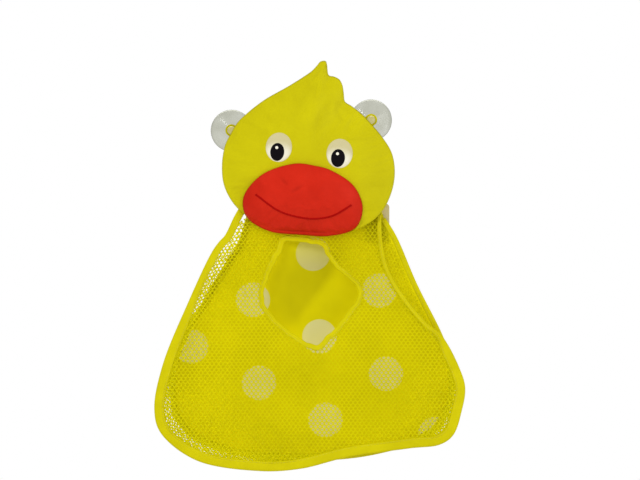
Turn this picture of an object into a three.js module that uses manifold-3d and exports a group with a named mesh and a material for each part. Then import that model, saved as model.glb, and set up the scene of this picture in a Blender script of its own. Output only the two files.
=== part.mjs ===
// Bath toy organizer: a padded duck head on two suction cups, with a net bag sewn below it.
// Modelled as drawn on the wall (X right, Y up, Z out from the wall), then turned so that +Z is up.
// The origin is on the wall, midway between the two cups. All sizes are in millimetres.
import * as THREE from 'three';
import Module from 'manifold-3d';
import { mergeVertices } from 'three/addons/utils/BufferGeometryUtils.js';

const wasm = await Module();
wasm.setup();

// Clearance between pieces that touch
const FIT_GAP = 0.3;

// Suction cups
const CUP_HALF_SPAN = 75;
const CUP_HALF_RISE = 5.6;
const CUP_RADIUS = 22.5;
const CUP_RIM_WIDTH = 1.6;
const CUP_LIP = 0.9;
const CUP_DOME_HEIGHT = 10.8;
const CUP_SHOULDER = [13, 8.8];
const CUP_WALL = 4.2;
const CUP_NECK_RADIUS = 3.2;
const KNOB_RADIUS = 5.2;
const KNOB_SKIRT = 1.2;
const KNOB_HEIGHT = 4.2;

// Cloth tabs that hold the cups
const TAB_WIDTH = 11;
const TAB_THICKNESS = 1.6;
const TAB_END_REACH = 5.6;
const TAB_FLAT_LENGTH = 7;
const TAB_RAMP_LENGTH = 9;
const TAB_SEWN_LENGTH = 11;
const TAB_PLAY = 0.6;
const TAB_HOLE_PLAY = 0.4;

// Head, with its outline drawn clockwise from the tip of the tuft
const HEAD_OUTLINE = [
  [26.5, 68.3], [28.2, 59], [29.5, 53.2], [35.3, 51.8], [40.9, 48.7], [44.2, 42.5], [45.7, 32.6],
  [46.9, 25.1], [54, 20.3], [66.4, 10.3], [76.4, -0.5], [86.4, -12.4], [97, -30], [100.3, -51], [96.5, -73],
  [85.3, -94.4], [64, -110.5], [30, -116], [-5, -115], [-42, -106.5], [-68.5, -89], [-82, -67], [-85, -45],
  [-81.6, -21.7], [-75.5, -9.5], [-68.4, 2.4], [-59, 11.7], [-40, 26.5], [-13.4, 41.7], [1.8, 51.2], [11.5, 58],
  [17.7, 64.7], [20.5, 68],
];
const HEAD_CENTRE = [7.5, -45];
const HEAD_TILT = THREE.MathUtils.degToRad(-5.8);
const HEAD_CLOTH = 1.2;
const HEAD_EDGE = 1.4;
const HEAD_CROWN = 11;
const HEAD_SEAM = 7;

// Beak, sewn on the head's front
const BEAK_OUTLINE = [
  [-6.7, -41.7], [14, -43.8], [31, -48.5], [56.2, -65.5], [65.8, -89], [58.3, -110.5], [30.8, -119],
  [-1.3, -117.8], [-35, -113.7], [-59, -98], [-61.8, -77.3], [-42, -53.5],
];
const BEAK_CENTRE = [2, -82];
const BEAK_EDGE = 1.2;
const BEAK_CROWN = 8;
const BEAK_SEAM = 6;
const BEAK_CLOTH = 1.1;
const BEAK_SEAT = 0.6;

// Smile cord on the beak
const SMILE_POINTS = [
  [-48.7, -74.6], [-24.2, -92], [-3.5, -98.7], [14.7, -100.6], [34, -97.2], [53.8, -85.9],
];
const SMILE_WIDTH = 1.8;
const SMILE_HEIGHT = 0.8;

// Eyes, placed in the tilted frame of the face
const EYE_MIDDLE = [8.6, -27.6];
const EYE_SPACING = 65.2;
const EYE_WIDTH = 28;
const EYE_HEIGHT = 31.5;
const PUPIL_WIDTH = 14.4;
const PUPIL_HEIGHT = 19.2;
const PUPIL_OFFSET = [-2, -4.6];
const GLINT_DIAMETER = 4.4;
const GLINT_SIDESTEP = -1;
const GLINT_INSET = 5;
const FILM_THICKNESS = 0.4;

// Back panel of the bag: side and bottom edge from the left of the neck round to the right of the neck
const BACK_EDGE = [
  [-57, -97], [-67, -128], [-80, -148], [-92, -167], [-105, -190], [-127, -225], [-139, -257], [-140.5, -288],
  [-135, -313], [-122, -331], [-92, -347], [-44, -357], [20, -359], [81, -352], [138, -333], [157, -310],
  [164, -284], [161, -254], [150, -225], [123, -171], [101, -120], [89, -100],
];
const BACK_DEPTH = 7;
const BACK_CLOTH = 1;
const BACK_TAPE_WIDTH = 6;
const FLAP_TOP = -66;
const FLAP_SEWN_TO = -80;
const FLAP_FOOT = -92;
const FLAP_LEFT = -54;
const FLAP_RIGHT = 78;

// Net front of the bag, flat, leaning out from the neck hinge
const FRONT_EDGE = [
  [-70, -93], [-82, -119], [-95, -136], [-121, -190], [-148, -257], [-156.5, -303], [-150, -328],
  [-112, -357.5], [-44, -369], [0, -366.5], [49, -354.5], [116, -345], [148, -341], [162, -331],
  [171, -306], [175, -281], [169, -260], [150, -225], [133, -211], [102, -171], [90, -147], [86.5, -120],
  [86, -96],
];
const HINGE_HEIGHT = -106;
const HINGE_DEPTH = 14.5;
const FRONT_LEAN = THREE.MathUtils.degToRad(7.9);
const NET_THICKNESS = 0.8;
const BINDING_WIDTH = 11;
const BINDING_LEG = 0.8;
const BINDING_FOLD = 1.2;
const GUSSET_SETBACK = 1.5;

// Mouth of the bag: inner edge of its binding, from the top left corner, going clockwise
const MOUTH_EDGE = [
  [-17.8, -126.1], [-5, -125.5], [10.1, -127], [20.7, -129.9], [28.3, -142], [41.9, -158.6], [54, -167.7],
  [60.7, -176], [61.5, -181.3], [49.4, -200.9], [37.3, -216.1], [25.2, -228.2], [17.7, -235.7], [4, -231.2],
  [-9.5, -223.6], [-22.3, -213], [-32.9, -202.5], [-38.3, -193.4], [-39.8, -182.8], [-38.3, -172.2],
  [-32.9, -158.6], [-26.2, -145], [-20.8, -134.5],
];
const MOUTH_BINDING_WIDTH = 6;

// Neck tape and side tag
const NECK_TAPE_WIDTH = 116;
const NECK_TAPE_HEIGHT = 10;
const NECK_TAPE_THICKNESS = 1.4;
const NECK_TAPE_CENTRE = 8;
const TAG_RIGHT = 94.7;
const TAG_TOP = -84;
const TAG_WIDTH = 26;
const TAG_LENGTH = 42;
const TAG_CORNER = 4;
const TAG_THICKNESS = 0.6;

// Fullness of a pad's rounding: lower is flatter on top and steeper at the seam
const PAD_FULLNESS = 0.65;

// How finely curves are cut, and the shares of a pad's radius at which its rings lie
const HEAD_STEPS = 96;
const BEAK_STEPS = 40;
const EYE_STEPS = 20;
const GLINT_STEPS = 10;
const EDGE_STEPS = 56;
const MOUTH_STEPS = 56;
const SMILE_STEPS = 18;
const CUP_STEPS = 28;
const BOWL_STEPS = 4;
const DOME_STEPS = 5;
const KNOB_STEPS = 3;
const PAD_RINGS = [0.3, 0.6, 0.82, 0.95, 1];
const FLOOR_RINGS = [0.7, 0.35];
const EYE_RINGS = [0.35, 0.7, 1];
const PUPIL_RINGS = [0.5, 1];
const GLINT_RINGS = [1];

// Depths from the wall, stacked up from the cup
const tabNear = CUP_DOME_HEIGHT + TAB_PLAY;
const tabFar = tabNear + TAB_THICKNESS;
const knobBase = tabFar + TAB_PLAY;
const knobTop = knobBase + KNOB_HEIGHT;
const headBackNear = knobTop + FIT_GAP;
const headBackFar = headBackNear + HEAD_CLOTH;
const headSeamDepth = headBackFar + FIT_GAP;

const material = (color, roughness) => new THREE.MeshStandardMaterial({ color, roughness, metalness: 0 });
const yellowCloth = material('#d2c80f', 0.45);
const yellowTape = material('#d8ca12', 0.6);
const yellowNet = material('#cfc412', 0.7);
const redCloth = material('#d7281a', 0.45);
const smileRed = material('#a80606', 0.5);
const eyeWhite = material('#f3f0e6', 0.4);
const eyeBlack = material('#0f0e12', 0.3);
const clearPvc = material('#c6c6b6', 0.15);
const foam = material('#eeeae0', 0.9);
const tagCloth = material('#c4bda6', 0.7);

const organizer = new THREE.Group();
organizer.rotation.x = Math.PI / 2;
const frontGroup = new THREE.Group();
frontGroup.position.set(0, HINGE_HEIGHT, HINGE_DEPTH);
frontGroup.rotation.x = -FRONT_LEAN;
organizer.add(frontGroup);

function addMesh(parent, name, geometry, look) {
  const mesh = new THREE.Mesh(geometry, look);
  mesh.name = name;
  parent.add(mesh);
  return mesh;
}

// A closed body from corner points and triangles, with its faces turned outwards.
function closedBody(points, triangles) {
  const corner = (index) => new THREE.Vector3(...points[index]);
  let volume = 0;
  for (const [a, b, c] of triangles) {
    volume += corner(a).dot(corner(b).cross(corner(c)));
  }
  const faces = volume > 0 ? triangles : triangles.map(([a, b, c]) => [a, c, b]);
  const geometry = new THREE.BufferGeometry();
  geometry.setAttribute('position', new THREE.Float32BufferAttribute(points.flat(), 3));
  geometry.setIndex(faces.flat());
  return geometry;
}

// A body lofted through closed rings of equal count, closed by a pole at each end.
function poleLoft(firstPole, rings, lastPole) {
  const count = rings[0].length;
  const points = [...rings.flat(), firstPole, lastPole];
  const firstIndex = rings.length * count;
  const lastRing = (rings.length - 1) * count;
  const triangles = [];
  for (let i = 0; i < count; i += 1) {
    const next = (i + 1) % count;
    triangles.push([firstIndex, i, next]);
    for (let start = 0; start < lastRing; start += count) {
      triangles.push([start + i, start + count + i, start + count + next]);
      triangles.push([start + i, start + count + next, start + next]);
    }
    triangles.push([firstIndex + 1, lastRing + next, lastRing + i]);
  }
  return closedBody(points, triangles);
}

// A section carried along a path; each station lists the section's points. An open path gets flat end caps.
// The second half of the section is split along the other diagonal, so that a thin strip's two faces match.
function sweep(stations, closed, capTriangles) {
  const count = stations[0].length;
  const lengths = stations.length;
  const triangles = [];
  for (let s = 0; s < (closed ? lengths : lengths - 1); s += 1) {
    const here = s * count;
    const there = ((s + 1) % lengths) * count;
    for (let i = 0; i < count; i += 1) {
      const next = (i + 1) % count;
      const [a, b, c, d] = [here + i, there + i, there + next, here + next];
      triangles.push(...(i < count / 2 ? [[a, b, c], [a, c, d]] : [[a, b, d], [b, c, d]]));
    }
  }
  if (!closed) {
    const last = (lengths - 1) * count;
    for (const [a, b, c] of capTriangles) {
      triangles.push([a, b, c], [last + a, last + c, last + b]);
    }
  }
  return closedBody(stations.flat(), triangles);
}

// Evenly spaced points on a smooth curve through the given points.
function smoothPoints(points, closed, steps) {
  const curve = new THREE.CatmullRomCurve3(
    points.map(([x, y]) => new THREE.Vector3(x, y, 0)), closed, 'centripetal');
  const spaced = curve.getSpacedPoints(steps).map(({ x, y }) => [x, y]);
  return closed ? spaced.slice(0, -1) : spaced;
}

// Unit vectors that point to the left of a path's direction, one for each of its points.
function leftward(path, closed) {
  const count = path.length;
  return path.map((point, i) => {
    const before = path[closed ? (i + count - 1) % count : Math.max(i - 1, 0)];
    const after = path[closed ? (i + 1) % count : Math.min(i + 1, count - 1)];
    const along = new THREE.Vector2(after[0] - before[0], after[1] - before[1]).normalize();
    return [-along.y, along.x];
  });
}

// The path moved sideways, to the left of its direction for a positive distance.
function shifted(path, distance, closed) {
  const left = leftward(path, closed);
  return path.map(([x, y], i) => [x + left[i][0] * distance, y + left[i][1] * distance]);
}

function outlineShape(points) {
  return new THREE.Shape(points.map(([x, y]) => new THREE.Vector2(x, y)));
}

function plate(shape, thickness, depth) {
  const geometry = new THREE.ExtrudeGeometry(shape, { depth: thickness, bevelEnabled: false });
  return geometry.translate(0, 0, depth);
}

function toSolid(geometry) {
  const bare = geometry.clone();
  bare.deleteAttribute('normal');
  bare.deleteAttribute('uv');
  const merged = mergeVertices(bare, 1e-4);
  const vertProperties = new Float32Array(merged.attributes.position.array);
  const triVerts = new Uint32Array(merged.index.array);
  return new wasm.Manifold(new wasm.Mesh({ numProp: 3, vertProperties, triVerts }));
}

function toGeometry(solid) {
  const { vertProperties, triVerts } = solid.getMesh();
  const geometry = new THREE.BufferGeometry();
  geometry.setAttribute('position', new THREE.Float32BufferAttribute(vertProperties, 3));
  geometry.setIndex(Array.from(triVerts));
  return geometry;
}

// A pad's swell at a share of the way from its centre (0) to its edge (1).
function swell(share) {
  return Math.max(1 - share * share, 0) ** PAD_FULLNESS;
}

// A ring of the outline drawn in towards the centre, lifted by a function of the place and the share.
function padRing(outline, centre, reach, share, lift) {
  return outline.map(([x, y]) => {
    const px = centre[0] + (x - centre[0]) * reach * share;
    const py = centre[1] + (y - centre[1]) * reach * share;
    return [px, py, lift(px, py, share)];
  });
}

// A crowned cover: outer skin over the whole outline, inner skin inside the seam, both over a base surface.
function coverGeometry(outline, centre, base, edge, crown, innerReach, innerCrown) {
  const outer = (x, y, share) => base(x, y) + edge + crown * swell(share);
  const inner = (x, y, share) => base(x, y) + innerCrown * swell(share);
  const outerRings = PAD_RINGS.map((share) => padRing(outline, centre, 1, share, outer));
  const foot = padRing(outline, centre, 1, 1, base);
  const innerRings = PAD_RINGS.map((share) => padRing(outline, centre, innerReach, share, inner)).reverse();
  return poleLoft([...centre, outer(...centre, 0)], [...outerRings, foot, ...innerRings],
    [...centre, inner(...centre, 0)]);
}

// A crowned filling on a base surface, inside a cover's inner skin.
function fillingGeometry(outline, centre, base, reach, crown) {
  const upper = (x, y, share) => base(x, y) + crown * swell(share);
  const rings = PAD_RINGS.map((share) => padRing(outline, centre, reach, share, upper));
  const floorRings = FLOOR_RINGS.map((share) => padRing(outline, centre, reach, share, base));
  return poleLoft([...centre, upper(...centre, 0)], [...rings, ...floorRings], [...centre, base(...centre)]);
}

// A thin film that follows a base surface.
function filmGeometry(outline, centre, base, shares) {
  const top = (x, y) => base(x, y) + FILM_THICKNESS;
  const rings = shares.map((share) => padRing(outline, centre, 1, share, top));
  const under = [...shares].reverse().map((share) => padRing(outline, centre, 1, share, base));
  return poleLoft([...centre, top(...centre)], [...rings, ...under], [...centre, base(...centre)]);
}

// Share of the way from a centre to an outline at a place, along the ray through that place.
function shareOfOutline(outline, centre, x, y) {
  const angle = Math.atan2(y - centre[1], x - centre[0]);
  const reach = Math.hypot(x - centre[0], y - centre[1]);
  for (let i = 0; i < outline.length; i += 1) {
    const [ax, ay] = outline[i];
    const [bx, by] = outline[(i + 1) % outline.length];
    const cosine = Math.cos(angle);
    const sine = Math.sin(angle);
    const across = (px, py) => (py - centre[1]) * cosine - (px - centre[0]) * sine;
    const along = (px, py) => (px - centre[0]) * cosine + (py - centre[1]) * sine;
    const a = across(ax, ay);
    const b = across(bx, by);
    if (a * b <= 0 && a !== b) {
      const mix = a / (a - b);
      const radius = along(ax, ay) * (1 - mix) + along(bx, by) * mix;
      if (radius > 0) {
        return reach / radius;
      }
    }
  }
  return 0;
}

function ellipsePoints(centre, width, height, steps) {
  const curve = new THREE.EllipseCurve(...centre, width / 2, height / 2, 0, 2 * Math.PI, false, HEAD_TILT);
  return curve.getPoints(steps).slice(0, -1).map(({ x, y }) => [x, y]);
}

// A folded tape round an edge: a channel whose groove takes the cloth, written as a section of
// (distance in from the fold, height over the middle of the cloth).
function channelSection(width, groove) {
  const half = groove / 2 + BINDING_LEG;
  return [
    [0, -half], [width, -half], [width, -groove / 2], [BINDING_FOLD, -groove / 2],
    [BINDING_FOLD, groove / 2], [width, groove / 2], [width, half], [0, half],
  ];
}

function bindingGeometry(path, section, depth, closed) {
  const rails = section.map(([inward]) => shifted(path, inward, closed));
  const stations = path.map((point, i) => section.map(([, height], k) => [...rails[k][i], depth + height]));
  const contour = section.map(([x, y]) => new THREE.Vector2(x, y));
  return sweep(stations, closed, THREE.ShapeUtils.triangulateShape(contour, []));
}

// Suction cups: one moulding turned about the axis that points out from the wall
function cupGeometry() {
  const hollow = CUP_DOME_HEIGHT - CUP_WALL;
  const floorRadius = CUP_RADIUS - CUP_RIM_WIDTH;
  const bend = (from, over, to) => new THREE.QuadraticBezierCurve(
    new THREE.Vector2(...from), new THREE.Vector2(...over), new THREE.Vector2(...to));
  const bowl = bend([0, hollow], [floorRadius / 2, hollow], [floorRadius, 0]);
  const dome = bend([CUP_RADIUS, CUP_LIP], CUP_SHOULDER, [KNOB_RADIUS, CUP_DOME_HEIGHT]);
  const knob = new THREE.EllipseCurve(
    0, knobBase + KNOB_SKIRT, KNOB_RADIUS, KNOB_HEIGHT - KNOB_SKIRT, 0, Math.PI / 2, false, 0);
  const profile = [
    ...bowl.getPoints(BOWL_STEPS),
    new THREE.Vector2(CUP_RADIUS, 0),
    ...dome.getPoints(DOME_STEPS),
    new THREE.Vector2(CUP_NECK_RADIUS, CUP_DOME_HEIGHT),
    new THREE.Vector2(CUP_NECK_RADIUS, knobBase),
    new THREE.Vector2(KNOB_RADIUS, knobBase),
    ...knob.getPoints(KNOB_STEPS),
  ];
  return new THREE.LatheGeometry(profile, CUP_STEPS).rotateX(Math.PI / 2);
}

// Cloth tab: flat under the knob, ramped up to the head's back cover and sewn flat on it
function tabGeometry() {
  const sewnFar = headBackNear - FIT_GAP;
  const sewnNear = sewnFar - TAB_THICKNESS;
  const rampEnd = TAB_FLAT_LENGTH + TAB_RAMP_LENGTH;
  const end = rampEnd + TAB_SEWN_LENGTH;
  const side = outlineShape([
    [-TAB_END_REACH, tabNear], [TAB_FLAT_LENGTH, tabNear], [rampEnd, sewnNear], [end, sewnNear],
    [end, sewnFar], [rampEnd, sewnFar], [TAB_FLAT_LENGTH, tabFar], [-TAB_END_REACH, tabFar],
  ]);
  const strip = plate(side, TAB_WIDTH, -TAB_WIDTH / 2).rotateX(Math.PI / 2);
  const roundEnd = new THREE.Shape();
  roundEnd.moveTo(end + TAB_WIDTH, -TAB_WIDTH);
  roundEnd.lineTo(end + TAB_WIDTH, TAB_WIDTH);
  roundEnd.lineTo(0, TAB_WIDTH);
  roundEnd.absarc(0, 0, TAB_END_REACH, Math.PI / 2, 3 * Math.PI / 2, false);
  roundEnd.lineTo(0, -TAB_WIDTH);
  const holeRadius = CUP_NECK_RADIUS + TAB_HOLE_PLAY;
  const hole = new THREE.CylinderGeometry(holeRadius, holeRadius, 2 * headBackNear, CUP_STEPS);
  const rounded = toSolid(strip).intersect(toSolid(plate(roundEnd, headBackNear, 0)));
  return toGeometry(rounded.subtract(toSolid(hole.rotateX(Math.PI / 2))));
}

const SIDES = [['left', -1], ['right', 1]];
for (const [side, sign] of SIDES) {
  const place = [sign * CUP_HALF_SPAN, sign * CUP_HALF_RISE];
  const cup = addMesh(organizer, `suction_cup_${side}`, cupGeometry(), clearPvc);
  cup.position.set(...place, 0);
  const tab = addMesh(organizer, `cup_tab_${side}`, tabGeometry(), yellowCloth);
  tab.position.set(...place, 0);
  tab.rotation.z = Math.atan2(HEAD_CENTRE[1] - place[1], HEAD_CENTRE[0] - place[0]);
}

// Head: flat back cover, crowned front cover and the filling between them
const headOutline = smoothPoints(HEAD_OUTLINE, true, HEAD_STEPS).reverse();
const headRadius = HEAD_CENTRE[0] - Math.min(...headOutline.map(([x]) => x));
const headReach = 1 - HEAD_SEAM / headRadius;
const headInnerCrown = HEAD_EDGE + HEAD_CROWN - HEAD_CLOTH;
const headBase = () => headSeamDepth;
const headCover = coverGeometry(
  headOutline, HEAD_CENTRE, headBase, HEAD_EDGE, HEAD_CROWN, headReach, headInnerCrown);
const headFilling = fillingGeometry(
  headOutline, HEAD_CENTRE, headBase, headReach - FIT_GAP / headRadius, headInnerCrown - FIT_GAP);
const headBack = plate(outlineShape(headOutline), HEAD_CLOTH, headBackNear);
addMesh(organizer, 'head_back_cover', headBack, yellowCloth);
addMesh(organizer, 'head_front_cover', headCover, yellowCloth);
addMesh(organizer, 'head_filling', headFilling, foam);

const headFront = (x, y) => {
  const share = Math.min(shareOfOutline(headOutline, HEAD_CENTRE, x, y), 1);
  return headSeamDepth + HEAD_EDGE + HEAD_CROWN * swell(share);
};

// Beak: crowned cover and filling on the head's front, hanging a little below it
const beakOutline = smoothPoints(BEAK_OUTLINE, true, BEAK_STEPS).reverse();
const beakRadius = BEAK_CENTRE[1] - Math.min(...beakOutline.map(([, y]) => y));
const beakReach = 1 - BEAK_SEAM / beakRadius;
const beakInnerCrown = BEAK_EDGE + BEAK_CROWN - BEAK_CLOTH;
const beakBase = (x, y) => headFront(x, y) + BEAK_SEAT;
const beakCover = coverGeometry(
  beakOutline, BEAK_CENTRE, beakBase, BEAK_EDGE, BEAK_CROWN, beakReach, beakInnerCrown);
const beakFilling = fillingGeometry(
  beakOutline, BEAK_CENTRE, beakBase, beakReach - FIT_GAP / beakRadius, beakInnerCrown - FIT_GAP);
addMesh(organizer, 'beak_cover', beakCover, redCloth);
addMesh(organizer, 'beak_filling', beakFilling, foam);

const beakFront = (x, y) => {
  const share = Math.min(shareOfOutline(beakOutline, BEAK_CENTRE, x, y), 1);
  return beakBase(x, y) + BEAK_EDGE + BEAK_CROWN * swell(share);
};

// Smile cord: a flat cord sewn along the beak
const smilePath = smoothPoints(SMILE_POINTS, false, SMILE_STEPS);
const smileSides = [SMILE_WIDTH / 2, -SMILE_WIDTH / 2].map((offset) => shifted(smilePath, offset, false));
const smileStations = smilePath.map((point, i) => {
  const [upper, lower] = smileSides.map((side) => side[i]);
  const raised = ([x, y], height) => [x, y, beakFront(x, y) + FIT_GAP + height];
  return [raised(upper, 0), raised(lower, 0), raised(lower, SMILE_HEIGHT), raised(upper, SMILE_HEIGHT)];
});
addMesh(organizer, 'smile_cord', sweep(smileStations, false, [[0, 1, 2], [0, 2, 3]]), smileRed);

// Eyes: white, pupil and glint films, one on the other
const turned = ([x, y]) => [
  x * Math.cos(HEAD_TILT) - y * Math.sin(HEAD_TILT),
  x * Math.sin(HEAD_TILT) + y * Math.cos(HEAD_TILT),
];
const added = ([ax, ay], [bx, by]) => [ax + bx, ay + by];
const filmBase = (layer) => (x, y) => headFront(x, y) + FIT_GAP + layer * (FILM_THICKNESS + FIT_GAP);
for (const [side, sign] of SIDES) {
  const eye = added(EYE_MIDDLE, turned([sign * EYE_SPACING / 2, 0]));
  const pupil = added(eye, turned(PUPIL_OFFSET));
  const glint = added(pupil, turned([GLINT_SIDESTEP, PUPIL_HEIGHT / 2 - GLINT_INSET]));
  const eyeOutline = ellipsePoints(eye, EYE_WIDTH, EYE_HEIGHT, EYE_STEPS);
  const pupilOutline = ellipsePoints(pupil, PUPIL_WIDTH, PUPIL_HEIGHT, EYE_STEPS);
  const glintOutline = ellipsePoints(glint, GLINT_DIAMETER, GLINT_DIAMETER, GLINT_STEPS);
  const whiteFilm = filmGeometry(eyeOutline, eye, filmBase(0), EYE_RINGS);
  const pupilFilm = filmGeometry(pupilOutline, pupil, filmBase(1), PUPIL_RINGS);
  const glintFilm = filmGeometry(glintOutline, glint, filmBase(2), GLINT_RINGS);
  addMesh(organizer, `eye_white_${side}`, whiteFilm, eyeWhite);
  addMesh(organizer, `eye_pupil_${side}`, pupilFilm, eyeBlack);
  addMesh(organizer, `eye_glint_${side}`, glintFilm, eyeWhite);
}

// Back panel: hangs flat, with its top bent forward and sewn to the head's back cover
const backEdge = smoothPoints(BACK_EDGE, false, EDGE_STEPS);
const backFar = BACK_DEPTH + BACK_CLOTH;
const backOutline = outlineShape([...backEdge, [FLAP_RIGHT, FLAP_TOP], [FLAP_LEFT, FLAP_TOP]]);
const flapFar = headBackNear - FIT_GAP;
const flapNear = flapFar - BACK_CLOTH;
const panelLow = Math.min(...backEdge.map(([, y]) => y)) - BACK_CLOTH;
const flapHigh = FLAP_TOP + BACK_CLOTH;
const panelSide = outlineShape([
  [BACK_DEPTH, panelLow], [backFar, panelLow], [backFar, FLAP_FOOT], [flapFar, FLAP_SEWN_TO],
  [flapFar, flapHigh], [flapNear, flapHigh], [flapNear, FLAP_SEWN_TO], [BACK_DEPTH, FLAP_FOOT],
]);
const panelReach = 2 * Math.max(...backEdge.map(([x]) => Math.abs(x)));
const panelSheet = plate(panelSide, 2 * panelReach, -panelReach).rotateY(-Math.PI / 2);
const panelSolid = toSolid(panelSheet).intersect(toSolid(plate(backOutline, headBackNear, 0)));
addMesh(organizer, 'back_panel', toGeometry(panelSolid), yellowCloth);

// Back seam tape, folded round the panel's edge
const backGroove = BACK_CLOTH + 2 * FIT_GAP;
const backMiddle = BACK_DEPTH + BACK_CLOTH / 2;
const backTapePath = shifted(backEdge, -BINDING_FOLD - FIT_GAP, false);
const backTapeSection = channelSection(BACK_TAPE_WIDTH, backGroove);
const backTape = bindingGeometry(backTapePath, backTapeSection, backMiddle, false);
addMesh(organizer, 'back_seam_tape', backTape, yellowTape);

// Front pieces are drawn in the leaning plane: heights are measured along it from the hinge
const inPlane = (path) => path.map(([x, y]) => [x, (y - HINGE_HEIGHT) / Math.cos(FRONT_LEAN)]);
const frontEdge = inPlane(smoothPoints(FRONT_EDGE, false, EDGE_STEPS));
const netEdge = shifted(frontEdge, BINDING_FOLD + FIT_GAP, false);
const netGroove = NET_THICKNESS + 2 * FIT_GAP;
const frontBinding = bindingGeometry(frontEdge, channelSection(BINDING_WIDTH, netGroove), 0, false);
addMesh(frontGroup, 'front_binding', frontBinding, yellowTape);

// Mouth: an opening in the net, bound all round
const mouthInner = inPlane(smoothPoints(MOUTH_EDGE, true, MOUTH_STEPS));
const netHole = shifted(mouthInner, BINDING_FOLD + FIT_GAP, true);
const mouthBinding = bindingGeometry(mouthInner, channelSection(MOUTH_BINDING_WIDTH, netGroove), 0, true);
addMesh(frontGroup, 'mouth_binding', mouthBinding, yellowTape);

const netShape = outlineShape(netEdge);
netShape.holes.push(new THREE.Path(netHole.map(([x, y]) => new THREE.Vector2(x, y))));
addMesh(frontGroup, 'front_net', plate(netShape, NET_THICKNESS, -NET_THICKNESS / 2), yellowNet);

// Gusset: a net strip from the back panel's face to the back of the front binding, cut level at both edges
const gussetFront = shifted(frontEdge, BINDING_WIDTH - GUSSET_SETBACK, false);
const gussetBack = shifted(backEdge, BACK_TAPE_WIDTH + GUSSET_SETBACK, false);
const outOfPlane = ([x, along], height) => [
  x,
  HINGE_HEIGHT + along * Math.cos(FRONT_LEAN) + height * Math.sin(FRONT_LEAN),
  HINGE_DEPTH - along * Math.sin(FRONT_LEAN) + height * Math.cos(FRONT_LEAN),
];
const bindingBack = -netGroove / 2 - BINDING_LEG - FIT_GAP;
const gussetFoot = backFar + FIT_GAP;
const gussetInward = leftward(gussetBack, false);
const gussetStations = gussetFront.map((point, i) => {
  const front = outOfPlane(gussetFront[i], bindingBack);
  const back = [...gussetBack[i], gussetFoot];
  const [inX, inY] = gussetInward[i];
  const rise = front[2] - gussetFoot;
  const lean = (front[0] - back[0]) * inX + (front[1] - back[1]) * inY;
  const across = NET_THICKNESS * Math.hypot(rise, lean) / rise;
  const inward = ([x, y, z]) => [x + inX * across, y + inY * across, z];
  return [front, inward(front), inward(back), back];
});
addMesh(organizer, 'gusset_net', sweep(gussetStations, false, [[0, 1, 2], [0, 2, 3]]), yellowNet);

// Neck tape: covers the seam on the head's back cover, just above its lower edge
const neckTape = new THREE.BoxGeometry(NECK_TAPE_WIDTH, NECK_TAPE_HEIGHT, NECK_TAPE_THICKNESS);
neckTape.translate(NECK_TAPE_CENTRE, HINGE_HEIGHT, headBackNear - FIT_GAP - NECK_TAPE_THICKNESS / 2);
addMesh(organizer, 'neck_tape', neckTape, yellowTape);

// Side tag: a blank cloth tag sewn on the back seam tape
const tagShape = new THREE.Shape();
const tagLeft = TAG_RIGHT - TAG_WIDTH;
const tagFoot = TAG_TOP - TAG_LENGTH;
tagShape.moveTo(tagLeft, tagFoot);
tagShape.lineTo(TAG_RIGHT, tagFoot);
tagShape.lineTo(TAG_RIGHT, TAG_TOP - TAG_CORNER);
tagShape.absarc(TAG_RIGHT - TAG_CORNER, TAG_TOP - TAG_CORNER, TAG_CORNER, 0, Math.PI / 2, false);
tagShape.lineTo(tagLeft, TAG_TOP);
const tapeNear = backMiddle - backGroove / 2 - BINDING_LEG;
addMesh(organizer, 'side_tag', plate(tagShape, TAG_THICKNESS, tapeNear - FIT_GAP - TAG_THICKNESS), tagCloth);

export default organizer;
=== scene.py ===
import math

import bpy
import numpy as np
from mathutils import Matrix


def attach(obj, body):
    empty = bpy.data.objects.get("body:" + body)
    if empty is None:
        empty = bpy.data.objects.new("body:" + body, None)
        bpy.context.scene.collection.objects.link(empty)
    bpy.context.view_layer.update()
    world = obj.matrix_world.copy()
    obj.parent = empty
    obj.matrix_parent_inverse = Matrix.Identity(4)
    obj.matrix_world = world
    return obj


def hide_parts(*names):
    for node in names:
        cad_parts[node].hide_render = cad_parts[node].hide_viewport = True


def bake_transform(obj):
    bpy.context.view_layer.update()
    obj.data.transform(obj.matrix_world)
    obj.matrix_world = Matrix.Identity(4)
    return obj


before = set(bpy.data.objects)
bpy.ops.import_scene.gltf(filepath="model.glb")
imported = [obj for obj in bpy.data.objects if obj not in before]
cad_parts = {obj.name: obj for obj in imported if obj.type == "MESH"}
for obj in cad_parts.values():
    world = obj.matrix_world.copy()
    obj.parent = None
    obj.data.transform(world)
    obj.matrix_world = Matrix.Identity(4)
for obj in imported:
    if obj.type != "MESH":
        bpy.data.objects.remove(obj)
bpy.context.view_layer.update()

# Studio: a pale floor far below the hanging bag, a white surround and soft lamps.
# The camera looks straight at the wall from far off, so the bag shows as in a flat front picture.
FLOOR_HEIGHT = -0.47
FLOOR_HALF = 1.2
CAMERA_DISTANCE = 4.0
BAG_FRONT = 0.025
BAG_MIDDLE = (0.01, -0.02, -0.15)
FRAME_WIDTH = 0.6848
FRAME_MIDDLE = (0.0201, -0.1233)
SENSOR_WIDTH = 36.0
SURROUND_LIGHT = 0.7
SURROUND_SEEN = 1.0


def feed(node, *numbered, **named):
    """Fills inputs of a node by number or by name, with _ for a space: another node's output is joined to the
    input, any other value is written into it."""
    for key, value in (*enumerate(numbered), *named.items()):
        socket = node.inputs[key.replace("_", " ") if isinstance(key, str) else key]
        if isinstance(value, bpy.types.NodeSocket):
            node.id_data.links.new(value, socket)
        else:
            socket.default_value = value


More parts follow.
